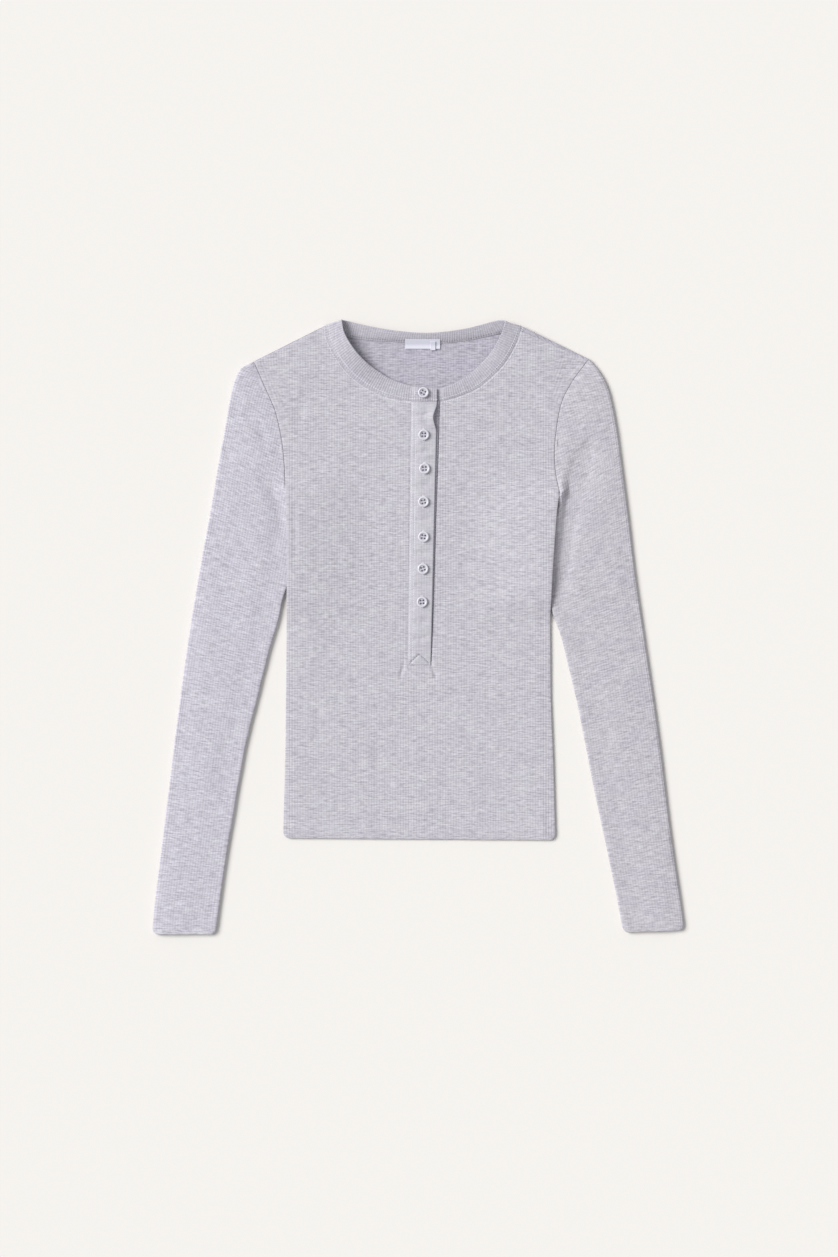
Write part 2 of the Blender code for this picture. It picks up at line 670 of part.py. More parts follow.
def top_strip_height(x, y):
    """Middle of the top strip: level with the panel at its seam and foot, riding up between."""
    from_seam = x - slot_side(0, y)
    rise = LAP_RISE * ease(from_seam / LAP_BEND) * ease((y - SLOT_FOOT_Y) / LAP_FOOT)
    return front_height(x, y) + rise


def make_top_strip(collection, material):
    low = SLOT_FOOT_Y + 2 * SEAM_GAP
    ys = [low, low + STRIP_TURN_UP, low + LAP_FOOT]
    high = NECK_Y - SEAM_GAP
    ys += [lerp(ys[-1], high, k / STRIP_ROWS) for k in range(1, STRIP_ROWS + 1)]
    rows = []
    for y in ys:
        left, right = slot_side(0, y) + 2 * SEAM_GAP, strip_edge(y)
        row = []
        for stop in STRIP_STOPS:
            x = lerp(left, right, stop)
            near_head = ease(1.0 - (NECK_Y - y) / STRIP_HEAD["reach"])
            lowered = STRIP_HEAD["drop"] * stop * near_head
            row.append((x, y - lowered, top_strip_height(x, y)))
        rows.append(row)
    points, faces = patch(rows)
    return sheet_object("placket_top", collection, points, faces, TOP_STRIP_WALL, material)


def make_under_strip(collection, material):
    low, high = SLOT_FOOT_Y + UNDER_FOOT, NECK_Y - SEAM_GAP
    rows = []
    for k in range(UNDER_ROWS + 1):
        y = lerp(low, high, k / UNDER_ROWS)
        left, right = slot_side(0, y) + UNDER_STRIP_START, slot_side(1, y) - SEAM_GAP
        xs = [lerp(left, right, stop) for stop in (0.0, 0.5, 1.0)]
        rows.append([(x, y, front_height(x, y)) for x in xs])
    points, faces = patch(rows)
    return sheet_object("placket_under", collection, points, faces, UNDER_STRIP_WALL, material)


def make_tag(name, sides, profile, collection, material):
    """A woven tag that hangs from the back neck seam, bent over the band at its head."""
    rows = []
    for y, z in profile:
        rows.append([(lerp(*sides, k / 2), y, z) for k in range(3)])
    points, faces = patch(rows)
    return sheet_object(name, collection, points, faces, LABEL_WALL, material)


# ==================================================================================================
# buttons
# ==================================================================================================
def button_profile():
    """Half section (radius, z) from the middle of the face round to the middle of the back."""
    r = BUTTON_DIAMETER / 2
    plate = r - BUTTON_RIM
    step, below = BUTTON_FACE
    crest, shoulder, fall = BUTTON_RIM_TOP
    face = [(0.0, BUTTON_PLATE), (plate - step, BUTTON_PLATE), (plate + step, BUTTON_THICK - below),
            (plate + crest, BUTTON_THICK), (r - shoulder, BUTTON_THICK - fall)]
    back = [(r, BUTTON_THICK * BUTTON_WAIST)] + [(r - x, z) for x, z in BUTTON_FOOT] + [(0.0, 0.0)]
    return face + back


def make_button_mesh(collection, cutters, material):
    """One button, turned, with four thread holes cut through its plate."""
    profile = bpy.data.meshes.new("button_profile")
    points = [Vector((x, 0.0, z)) * MM for x, z in button_profile()]
    profile.from_pydata(points, [(k, k + 1) for k in range(len(points) - 1)], [])
    blank = bpy.data.objects.new("button_blank", profile)
    collection.objects.link(blank)
    screw = blank.modifiers.new("turn", "SCREW")
    screw.steps = screw.render_steps = BUTTON_SIDES
    screw.use_merge_vertices = True
    screw.merge_threshold = 0.00001
    screw.use_smooth_shade = True
    drills = bpy.data.meshes.new("button_drills")
    work = bmesh.new()
    for sx in (-1, 1):
        for sy in (-1, 1):
            made = bmesh.ops.create_cone(
                work, cap_ends=True, segments=HOLE_SIDES, radius1=HOLE_DIAMETER / 2 * MM,
                radius2=HOLE_DIAMETER / 2 * MM, depth=DRILL_LENGTH * MM)
            centre = Vector((sx * HOLE_SPACING / 2, sy * HOLE_SPACING / 2, BUTTON_PLATE / 2)) * MM
            bmesh.ops.translate(work, verts=made["verts"], vec=centre)
    work.to_mesh(drills)
    work.free()
    drill = bpy.data.objects.new("button_drill", drills)
    drill.hide_render = True
    drill.display_type = "WIRE"
    cutters.objects.link(drill)
    cut = blank.modifiers.new("thread holes", "BOOLEAN")
    cut.operation = "DIFFERENCE"
    cut.object = drill
    bpy.context.view_layer.update()
    graph = bpy.context.evaluated_depsgraph_get()
    mesh = bpy.data.meshes.new_from_object(blank.evaluated_get(graph))
    mesh.name = "button"
    bpy.data.objects.remove(blank)
    bpy.data.objects.remove(drill)
    mesh.materials.clear()
    mesh.materials.append(material)
    mesh.set_sharp_from_angle(angle=math.radians(40))
    return mesh


def make_buttons(collection, cutters, material):
    mesh = make_button_mesh(collection, cutters, material)
    seat = TOP_STRIP_WALL / 2 + SEAM_GAP
    for number, (x, y, turn) in enumerate(BUTTONS, start=1):
        around = (-BUTTON_REACH, 0.0, BUTTON_REACH)
        z = max(top_strip_height(x + dx, y + dy) for dx in around for dy in around)
        if y > NECK_Y:
            z = front_height(x, NECK_Y) + LAP_RISE + BAND_TILT[1] * BUTTON_LEAN + BAND_CROWN
        button = bpy.data.objects.new(f"button_{number}", mesh)
        button.location = Vector((x, y, z + seat + BUTTON_CLEAR)) * MM
        button.rotation_euler.z = math.radians(turn)
        collection.objects.link(button)


# ==================================================================================================
def centre_on_origin(collection):
    """Move every piece so that the middle of the shirt's underside is the origin."""
    bpy.context.view_layer.update()
    graph = bpy.context.evaluated_depsgraph_get()
    corners = []
    for piece in collection.objects:
        evaluated = piece.evaluated_get(graph)
        corners += [evaluated.matrix_world @ Vector(c) for c in evaluated.bound_box]
    low = [min(c[k] for c in corners) for k in range(3)]
    high = [max(c[k] for c in corners) for k in range(3)]
    shift = Vector(((low[0] + high[0]) / 2, (low[1] + high[1]) / 2, low[2]))
    for piece in collection.objects:
        piece.location -= shift


def main():
    for startup in list(bpy.data.objects):
        bpy.data.objects.remove(startup)
    shirt = bpy.data.collections.new("henley_shirt")
    cutters = bpy.data.collections.new("cutters")
    for collection in (shirt, cutters):
        bpy.context.scene.collection.children.link(collection)

    jersey = cloth_material("heather grey rib jersey", (0.57, 0.55, 0.60), 0.9)
    doubled = cloth_material("doubled rib jersey", (0.58, 0.56, 0.60), 0.9)
    satin = cloth_material("woven satin tag", (0.75, 0.75, 0.86), 0.6)
    plastic = cloth_material("grey polyester button", (0.62, 0.61, 0.68), 0.3)

    make_back(shirt, jersey)
    make_front(shirt, jersey)
    make_sleeve(-1, "sleeve_left", shirt, jersey)
    make_sleeve(1, "sleeve_right", shirt, jersey)
    make_neckband(shirt, doubled)
    make_under_strip(shirt, doubled)
    make_top_strip(shirt, doubled)
    make_tag("neck_label", LABEL_SIDES, LABEL_PROFILE, shirt, satin)
    make_tag("size_tab", SIZE_TAB_SIDES, SIZE_TAB_PROFILE, shirt, satin)
    make_buttons(shirt, cutters, plastic)
    centre_on_origin(shirt)


main()
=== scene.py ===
"""Henley shirt in heather grey rib jersey, buttoned and laid flat on its back.

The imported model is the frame. Its cloth solids are stood in for by thin shells with real ribs,
rolled edges, seams and creases, and its buttons by finer turned ones. Tables are in millimetres
in the pattern's own plan, (x, y) seen from above with +Y towards the neck; MM makes them metres.
"""

import logging
import math
from dataclasses import dataclass, field
from enum import Enum
from typing import Any, Callable, Sequence

import bmesh
import bpy
import numpy as np
from mathutils import Euler, Matrix, Vector

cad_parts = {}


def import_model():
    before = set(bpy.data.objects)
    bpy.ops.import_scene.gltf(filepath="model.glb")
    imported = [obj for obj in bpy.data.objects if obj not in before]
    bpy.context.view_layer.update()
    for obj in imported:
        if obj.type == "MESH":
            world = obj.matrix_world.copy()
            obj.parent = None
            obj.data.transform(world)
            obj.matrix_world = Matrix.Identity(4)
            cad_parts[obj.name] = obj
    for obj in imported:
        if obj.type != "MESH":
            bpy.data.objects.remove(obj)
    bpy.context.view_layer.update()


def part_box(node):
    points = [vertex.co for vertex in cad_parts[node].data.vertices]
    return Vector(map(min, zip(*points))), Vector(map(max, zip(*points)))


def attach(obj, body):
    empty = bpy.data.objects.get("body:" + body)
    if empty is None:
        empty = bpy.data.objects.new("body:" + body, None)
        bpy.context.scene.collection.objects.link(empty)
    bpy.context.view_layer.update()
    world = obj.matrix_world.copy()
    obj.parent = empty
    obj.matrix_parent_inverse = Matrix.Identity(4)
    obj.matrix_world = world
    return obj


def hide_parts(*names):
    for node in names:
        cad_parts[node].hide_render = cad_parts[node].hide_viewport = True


Array = np.ndarray
Table = Sequence[tuple[float, ...]]
log = logging.getLogger("henley")

MM = 0.001
SEAM_GAP = 0.3  # clear between two sewn pieces
FAR = 99.0  # further from a seam or an edge than anything it touches
ROLL = (0.0, 0.15, 0.45, 0.9, 1.5, 2.3, 3.3)  # rows this far from an edge make it round


class Side(Enum):
    """The shirt's left and right as seen from above."""

    LEFT = -1
    RIGHT = 1


SIDES = (Side.LEFT, Side.RIGHT)


def pair(left: Any, right: Any) -> Any:
    """Dataclass field that holds a value for each side."""
    return field(default_factory=lambda: {Side.LEFT: left, Side.RIGHT: right})


# ---------------------------------------------------------------------------------------------
# Curves
# ---------------------------------------------------------------------------------------------
def ease(t: Any) -> Array:
    """Go from 0 to 1, level at both ends."""
    t = np.clip(t, 0.0, 1.0)
    return t * t * (3.0 - 2.0 * t)


def lerp(a: Any, b: Any, t: Any) -> Any:
    """Blend from a to b."""
    return a + (b - a) * t


def smooth(points: Any, steps: int = 24) -> Array:
    """Run a Catmull-Rom curve through points.

    Args:
        points: rows of coordinates of any dimension.
        steps: samples between two points.

    Returns:
        The dense polyline.
    """
    p = np.asarray(points, float)
    p = np.vstack([2 * p[0] - p[1], p, 2 * p[-1] - p[-2]])
    u = np.linspace(0.0, 1.0, steps, endpoint=False)[:, None]
    runs = [
        0.5 * (2 * b + (c - a) * u + (2 * a - 5 * b + 4 * c - d) * u**2 + (3 * b - a - 3 * c + d) * u**3)
        for a, b, c, d in zip(p, p[1:], p[2:], p[3:])
    ]
    return np.vstack(runs + [p[-2][None]])


def run_of(line: Array, dims: int = 2) -> Array:
    """Length from the start of a polyline to each of its points."""
    steps = np.linalg.norm(np.diff(line[:, :dims], axis=0), axis=1)
    return np.concatenate([[0.0], np.cumsum(steps)])


def at_lengths(line: Array, lengths: Any, dims: int = 2) -> Array:
    """Points of a polyline at lengths along it, every column carried along."""
    run = run_of(line, dims)
    return np.column_stack([np.interp(lengths, run, line[:, k]) for k in range(line.shape[1])])


def at_parts(line: Array, parts: Any, dims: int = 2) -> Array:
    """Points of a polyline at parts (0 to 1) of its length."""
    return at_lengths(line, np.asarray(parts) * run_of(line, dims)[-1], dims)


def to_path(x: Array, y: Array, path: Array) -> tuple[Array, Array]:
    """Measure points against a polyline.

    Args:
        x: the points' x.
        y: the points' y.
        path: the polyline's plan points.

    Returns:
        Distance from the polyline, and the part of its length where it is nearest.
    """
    best, where = np.full(np.shape(x), 1e9), np.zeros(np.shape(x))
    run = run_of(path)
    for (ax, ay), (bx, by), r0, r1 in zip(path[:-1, :2], path[1:, :2], run, run[1:]):
        dx, dy = bx - ax, by - ay
        t = np.clip(((x - ax) * dx + (y - ay) * dy) / (dx * dx + dy * dy + 1e-12), 0.0, 1.0)
        away = np.hypot(x - ax - t * dx, y - ay - t * dy)
        near = away < best
        best = np.where(near, away, best)
        where = np.where(near, (r0 + t * (r1 - r0)) / run[-1], where)
    return best, where


def beside(line: Array, away: float) -> Array:
    """Plan points of a polyline moved sideways to the left of its direction."""
    slope = np.gradient(line[:, :2], axis=0)
    slope /= np.linalg.norm(slope, axis=1)[:, None] + 1e-12
    return line[:, :2] + away * np.column_stack([-slope[:, 1], slope[:, 0]])


def put(name: str, data: Any) -> bpy.types.Object:
    """Put a new object in the scene, at the origin."""
    thing = bpy.data.objects.new(name, data)
    bpy.context.scene.collection.objects.link(thing)
    return thing


# ---------------------------------------------------------------------------------------------
# Pattern and lay
# ---------------------------------------------------------------------------------------------
@dataclass(frozen=True)
class Crease:
    """A soft, uneven trough (depth below 0) or ridge (above 0) along a path in the plan."""

    path: Table
    half_width: float
    depth: float
    fade: float = 0.3

    def height(self, x: Array, y: Array) -> Array:
        """Rise of the cloth at plan points."""
        path = smooth(self.path, 6)
        away, part = to_path(x, y, path)
        uneven = 1.0 + 0.22 * np.sin(9.0 * part + self.depth * 7.0) + 0.12 * np.sin(23.0 * part + 1.0)
        ends = ease(part / self.fade) * ease((1.0 - part) / self.fade)
        return self.depth * uneven * ends * np.exp(-((away / self.half_width) ** 2) * 1.6)


@dataclass(frozen=True)
class Ripple:
    """Long shallow unevenness of a laid cloth, from seeded waves."""

    height: float
    shortest: float
    longest: float
    seed: int

    def at(self, x: Array, y: Array) -> Array:
        """Rise of the cloth at plan points."""
        chance = np.random.default_rng(self.seed)
        total = np.zeros(np.shape(x))
        for _ in range(7):
            length = chance.uniform(self.shortest, self.longest)
            turn = chance.uniform(0.0, math.tau)
            start = chance.uniform(0.0, math.tau)
            total = total + np.sin((x * math.cos(turn) + y * math.sin(turn)) * math.tau / length + start)
        return self.height * total / 7.0**0.5


@dataclass(frozen=True)
class Pattern:
    """Edges of the laid shirt in plan."""

    side: dict[Side, Table] = pair(
        [(-143.4, -223.7), (-141.2, -151.6), (-140.0, -60.0), (-139.3, 30.0), (-139.5, 100.0),
         (-140.9, 150.5)],
        [(145.5, -225.8), (143.6, -151.6), (140.6, -77.0), (139.9, 10.0), (142.5, 62.0), (146.6, 120.0),
         (149.6, 142.0)])
    armhole: dict[Side, Table] = pair(
        [(-140.9, 150.5), (-141.9, 172.0), (-144.6, 198.0), (-151.6, 229.0), (-161.5, 252.0),
         (-174.1, 280.9)],
        [(149.6, 142.0), (145.2, 166.0), (144.8, 195.0), (150.8, 234.0), (162.0, 258.0), (180.3, 283.3)])
    neck: dict[Side, Table] = pair(
        [(-97.1, 319.1), (-95.2, 304.0), (-86.6, 286.5), (-73.4, 269.2), (-57.1, 255.9), (-38.0, 246.0),
         (-21.0, 241.2), (-7.2, 239.2)],
        [(108.9, 318.1), (104.0, 301.9), (92.5, 281.5), (78.8, 266.1), (62.6, 253.1), (44.7, 245.2),
         (33.0, 241.6), (23.0, 239.2)])
    band_edge: dict[Side, Table] = pair(
        [(-80.6, 324.2), (-78.4, 312.0), (-71.4, 298.8), (-61.6, 286.4), (-48.6, 275.0), (-31.5, 264.0),
         (-17.8, 258.2), (-6.0, 254.8)],
        [(91.4, 321.6), (87.3, 309.0), (78.0, 292.2), (67.0, 279.4), (53.0, 266.6), (38.6, 258.2),
         (29.6, 254.6), (23.4, 252.6)])
    # band from the left neck corner round the back to the right one: seam x y z, edge x y z, crown
    back_band: Table = (
        (-95.6, 317.0, 4.6, -79.9, 324.4, 7.4, 0.0), (-88.0, 312.6, 2.6, -76.6, 324.2, 6.4, 0.0),
        (-78.0, 308.0, 1.8, -71.4, 323.0, 5.8, 0.2), (-66.0, 305.3, 1.5, -62.6, 320.8, 5.8, 0.5),
        (-44.0, 303.2, 1.5, -40.0, 316.2, 7.6, 0.8), (-20.0, 301.9, 1.5, -16.2, 312.8, 9.6, 0.9),
        (7.0, 300.9, 1.5, 7.2, 311.2, 10.4, 0.9), (30.0, 301.0, 1.5, 30.5, 312.8, 9.8, 0.9),
        (52.7, 303.5, 1.5, 52.0, 316.2, 8.6, 0.8), (72.0, 307.6, 1.6, 68.4, 320.4, 7.6, 0.5),
        (88.6, 311.4, 1.9, 80.6, 323.8, 7.0, 0.2), (99.6, 314.4, 2.8, 87.6, 324.5, 7.0, 0.0),
        (106.6, 316.6, 4.4, 92.0, 323.4, 7.4, 0.0),
    )
    sleeve_outer: dict[Side, Table] = pair(
        [(-176.6, 279.5), (-188.9, 272.0), (-197.4, 250.0), (-204.4, 212.0), (-210.8, 177.0),
         (-220.8, 118.7), (-232.4, 55.1), (-245.1, -24.4), (-257.9, -119.8), (-269.5, -215.2),
         (-279.4, -294.7), (-281.7, -325.4)],
        [(182.8, 281.3), (192.4, 270.0), (202.0, 250.0), (209.6, 214.1), (214.6, 178.0), (222.3, 118.7),
         (229.8, 55.1), (241.4, -24.4), (255.2, -119.8), (266.9, -215.2), (278.5, -294.7),
         (281.7, -321.0)])
    sleeve_inner: dict[Side, Table] = pair(
        [(-140.9, 150.5), (-141.6, 138.0), (-136.0, 118.0), (-131.4, 88.0), (-133.4, 58.0),
         (-142.3, 31.8), (-147.6, 7.4), (-157.1, -24.4), (-169.0, -72.1), (-181.0, -119.8),
         (-190.0, -167.5), (-205.9, -262.9), (-214.4, -325.4)],
        [(149.6, 142.0), (149.2, 129.0), (141.0, 108.0), (134.6, 80.0), (134.0, 48.0), (140.4, 20.1),
         (150.6, -8.5), (158.7, -40.3), (170.2, -90.0), (185.2, -167.5), (205.4, -262.9), (217.2, -323.4)])
    slit_top: tuple[float, float] = (-7.2, 23.0)
    slit_foot: tuple[float, float] = (-11.0, 13.6)
    slit_foot_y: float = -40.0
    neck_y: float = 239.2

    def edge(self, side: Side, y: Array) -> Array:
        """Distance of the panels' side and armhole edge from the middle plane at y."""
        line = np.vstack([np.asarray(self.side[side]), smooth(self.armhole[side])[1:]])
        return np.interp(y, line[:, 1], np.abs(line[:, 0]))

    def side_edge(self, side: Side, y: Array) -> Array:
        """The same below the underarm, straight on above it."""
        line = np.asarray(self.side[side])
        return np.interp(y, line[:, 1], np.abs(line[:, 0]))

    def hem(self, x: Any) -> Any:
        """y of the hem at x."""
        left, right = (self.side[side][0] for side in SIDES)
        return lerp(left[1], right[1], (x - left[0]) / (right[0] - left[0]))

    def slit(self, which: int, y: Array) -> Array:
        """x of the placket slit's left (0) or right (1) side at y."""
        part = (y - self.slit_foot_y) / (self.neck_y - self.slit_foot_y)
        return lerp(self.slit_foot[which], self.slit_top[which], part)

    def shoulder(self, side: Side, x: Array, drawn: tuple[float, float]) -> Array:
        """y of the shoulder line at x, drawn in at the neck and at the tip."""
        tip, corner = np.array(self.armhole[side][-1]), np.array(self.neck[side][0])
        run = (corner - tip) / np.linalg.norm(corner - tip)
        inward = np.array([run[1], -run[0]]) * (1.0 if side is Side.LEFT else -1.0)
        corner, tip = corner + inward * drawn[0], tip + inward * drawn[1]
        return corner[1] + (x - corner[0]) * (tip[1] - corner[1]) / (tip[0] - corner[0])


@dataclass(frozen=True)
class Lay:
    """Heights of the middle of each cloth above the table."""

    pattern: Pattern
    cloth: float = 1.2
    back_mid: float = 0.6
    front_mid: float = 2.7
    edge_mid: float = 2.4
    edge_roll: float = 14.0
    over_sleeve: dict[Side, float] = pair(5.0, 7.6)
    back_flat: float = 13.0  # how far in the back panel stays at its full lift
    back_ramp: float = 24.0
    front_ramp: float = 96.0
    lift_span: dict[Side, tuple[float, ...]] = pair((2.0, 30.0, 136.0, 172.0), (2.0, 38.0, 128.0, 164.0))
    # x, y, rise and reach of the rise at the neck corners and the scoop
    lifts: Table = ((-92.0, 318.0, 3.9, 85.0), (104.0, 316.0, 3.6, 80.0), (8.0, 246.0, 1.0, 90.0))
    shoulder_rise: tuple[float, float] = (0.8, 20.0)
    hem_deep: float = 12.6
    hem_rise: float = 0.16
    ripple: Ripple = Ripple(0.16, 34.0, 110.0, 5)
    creases: tuple[Crease, ...] = (
        Crease([(-13.6, -37.5), (-16.4, -44.0), (-20.4, -53.5)], 2.4, -1.7, 0.3),
        Crease([(14.0, -42.5), (16.6, -48.0), (20.4, -55.0)], 2.4, -1.7, 0.3),
        Crease([(-22.0, -56.0), (-4.0, -62.0), (12.0, -61.0), (26.0, -66.0)], 3.4, -0.45),
        Crease([(-30.0, -40.0), (-21.0, -47.0), (-15.0, -55.0)], 3.2, 0.35),
        Crease([(24.0, -52.0), (40.0, -60.0), (58.0, -62.0)], 4.0, -0.35),
        Crease([(-129.0, 150.0), (-130.5, 105.0), (-129.0, 60.0)], 4.5, -0.6),
        Crease([(126.0, 66.0), (131.0, 20.0), (128.0, -30.0)], 6.0, -0.35),
        Crease([(-104.0, 262.0), (-120.0, 240.0), (-128.0, 205.0)], 8.0, -0.5),
        Crease([(112.0, 268.0), (126.0, 238.0), (134.0, 205.0)], 8.0, -0.45),
        Crease([(-60.0, -120.0), (-20.0, -128.0), (40.0, -122.0)], 9.0, -0.3),
        Crease([(60.0, -180.0), (100.0, -186.0), (132.0, -178.0)], 7.0, 0.35),
        Crease([(124.0, -196.0), (131.0, -208.0), (133.0, -222.0)], 5.0, 0.8, 0.2),
    )
    back_creases: tuple[Crease, ...] = (
        Crease([(-70.0, 210.0), (-30.0, 190.0), (40.0, 196.0)], 9.0, 0.45),
        Crease([(-90.0, 40.0), (-20.0, 22.0), (60.0, 34.0)], 10.0, 0.4),
        Crease([(-50.0, -120.0), (10.0, -138.0), (80.0, -126.0)], 9.0, 0.4),
        Crease([(-66.0, 284.0), (-20.0, 268.0), (44.0, 272.0), (86.0, 292.0)], 12.0, 0.35),
    )

    def side_lift(self, x: Array, y: Array, ramp: float, flat: float = 0.0) -> Array:
        """Rise of a panel where the body's side lies on a sleeve.

        Args:
            x: the points' x.
            y: the points' y.
            ramp: width over which the panel comes down again.
            flat: width beside the edge that is at its full rise.

        Returns:
            The rise.
        """
        total = np.zeros(np.shape(x))
        for side in SIDES:
            start, up, up_end, end = self.lift_span[side]
            along = ease((y - start) / (up - start)) * (1.0 - ease((y - up_end) / (end - up_end)))
            inside = self.pattern.side_edge(side, y) - np.abs(x)
            across = 1.0 - ease((inside - flat) / ramp)
            total = np.where(x * side.value > 0, self.over_sleeve[side] * along * across, total)
        return total

    def seam_front(self, x: Any, y: Any) -> Array:
        """Middle of the front panel without its creases."""
        x, y = np.asarray(x, float), np.asarray(y, float)
        z = np.zeros(x.shape)
        for side in SIDES:
            above = y - self.pattern.side[side][-1][1] + self.edge_roll
            inside = np.maximum(np.maximum(self.pattern.side_edge(side, y) - np.abs(x), 0.0), above)
            hem = np.maximum(y - self.pattern.side[side][0][1], 0.0)
            roll = ease(np.minimum(inside, hem) / self.edge_roll)
            tip, corner = np.array(self.pattern.armhole[side][-1]), np.array(self.pattern.neck[side][0])
            run = (corner - tip) / np.linalg.norm(corner - tip)
            away = np.abs(run[0] * (y - tip[1]) - run[1] * (x - tip[0]))
            rise = self.shoulder_rise[0] * (1.0 - ease(away / self.shoulder_rise[1]))
            z = np.where(x * side.value >= 0, lerp(self.edge_mid, self.front_mid, roll) + rise, z)
        for at_x, at_y, rise, reach in self.lifts:
            z = z + rise * (1.0 - ease(np.hypot(x - at_x, y - at_y) / reach))
        return z + self.side_lift(x, y, self.front_ramp)

    def front(self, x: Any, y: Any) -> Array:
        """Middle of the front panel with its creases, hem and unevenness."""
        x, y = np.asarray(x, float), np.asarray(y, float)
        hem = self.hem_rise * (1.0 - ease((y - self.pattern.hem(x) - self.hem_deep + 1.0) / 2.0))
        z = self.seam_front(x, y) + self.ripple.at(x, y) + hem
        for crease in self.creases:
            z = z + crease.height(x, y)
        return z

    def back(self, x: Any, y: Any) -> Array:
        """Middle of the back panel."""
        x, y = np.asarray(x, float), np.asarray(y, float)
        z = self.back_mid + self.side_lift(x, y, self.back_ramp, self.back_flat)
        for crease in self.back_creases:
            z = z + crease.height(x, y)
        return z


# ---------------------------------------------------------------------------------------------
# Meshes
# ---------------------------------------------------------------------------------------------
@dataclass
class Cloth:
    """The middle of one cloth as a grid of points, with what its finish and ribs read."""

    name: str
    points: Array  # rows x columns x 3
    uv: Array  # rows x columns x 2: across the wales and along them
    thick: Array  # rows x columns: part of the wall's thickness
    show: Array  # rows x columns: how far the ribs stand out
    wall: float
    keep: Array | None = None  # cells that are cloth

    def build(self, origin: Array) -> tuple[bpy.types.Object, float]:
        """Weld the grid to a mesh and give it its wall.

        Args:
            origin: what is taken from every point, in millimetres.

        Returns:
            The object with its wall's modifier, and the cloth's area in square metres.
        """
        rows, columns = self.points.shape[:2]
        flat = (self.points - origin).reshape(-1, 3) * MM
        _, first, ids = np.unique(np.round(flat, 7), axis=0, return_index=True, return_inverse=True)
        ids = ids.reshape(rows, columns)
        quads = np.stack([ids[:-1, :-1], ids[:-1, 1:], ids[1:, 1:], ids[1:, :-1]], axis=-1)
        keep = np.ones(quads.shape[:2], bool) if self.keep is None else self.keep
        faces = [tuple(dict.fromkeys(face)) for face in quads[keep].tolist()]
        faces = [face for face in faces if len(face) > 2]
        used, again = np.unique(np.concatenate([np.array(face) for face in faces]), return_inverse=True)
        lengths = np.array([len(face) for face in faces])
        mesh = bpy.data.meshes.new(self.name)
        cut = np.split(again, np.cumsum(lengths)[:-1])
        mesh.from_pydata(flat[first][used].tolist(), [], [face.tolist() for face in cut])
        take = first[used]
        for label, values in (("wale", self.uv[..., 0] * MM), ("show", self.show)):
            mesh.attributes.new(label, "FLOAT", "POINT").data.foreach_set(
                "value", values.reshape(-1)[take].astype(np.float32))
        spread = (self.uv.reshape(-1, 2)[take] * MM)[again]
        mesh.uv_layers.new(name="cloth").data.foreach_set("uv", spread.reshape(-1).astype(np.float32))
        mesh.shade_smooth()
        piece = put(self.name, mesh)
        group = piece.vertex_groups.new(name="wall")
        weights = np.round(self.thick.reshape(-1)[take], 2)
        for weight in np.unique(weights):
            group.add(np.nonzero(weights == weight)[0].tolist(), float(weight), "REPLACE")
        solidify = piece.modifiers.new("wall", "SOLIDIFY")
        solidify.thickness = self.wall * MM
        solidify.offset = 0.0
        solidify.vertex_group = "wall"
        solidify.thickness_vertex_group = 0.0
        return piece, sum(polygon.area for polygon in mesh.polygons)


def rounded(away: Array, radius: float, least: float = 0.3) -> tuple[Array, Array]:
    """Thickness and rib weight at a distance from an edge that is rounded off to a least one."""
    inside = np.clip(away / radius, 0.0, 1.0)
    thick = least + (1.0 - least) * np.sqrt(1.0 - (1.0 - inside) ** 2)
    return thick, ease((away - 0.2) / 1.6)


def settle(piece: bpy.types.Object) -> None:
    """Turn a piece with its modifiers into a plain mesh."""
    graph = bpy.context.evaluated_depsgraph_get()
    mesh = bpy.data.meshes.new_from_object(
        piece.evaluated_get(graph), preserve_all_data_layers=True, depsgraph=graph)
    old = piece.data
    piece.modifiers.clear()
    piece.data = mesh
    bpy.data.meshes.remove(old)
    mesh.name = piece.name


def feed(node: Any, inputs: dict) -> None:
    """Set a value or link an output socket for each named or numbered input of a node."""
    for key, value in inputs.items():
        if isinstance(value, bpy.types.NodeSocket):
            node.id_data.links.new(value, node.inputs[key])
        else:
            node.inputs[key].default_value = value


def add(tree: bpy.types.NodeTree, kind: str, inputs: dict | None = None, **settings: Any) -> Any:
    """Add a node with its settings, values and links.

    Args:
        tree: the node tree.
        kind: the node's type.
        inputs: a value or an output socket for each named or numbered input.
        settings: the node's own settings.

    Returns:
        The node.
    """
    node = tree.nodes.new(kind)
    for name, value in settings.items():
        setattr(node, name, value)
    feed(node, inputs or {})
    return node


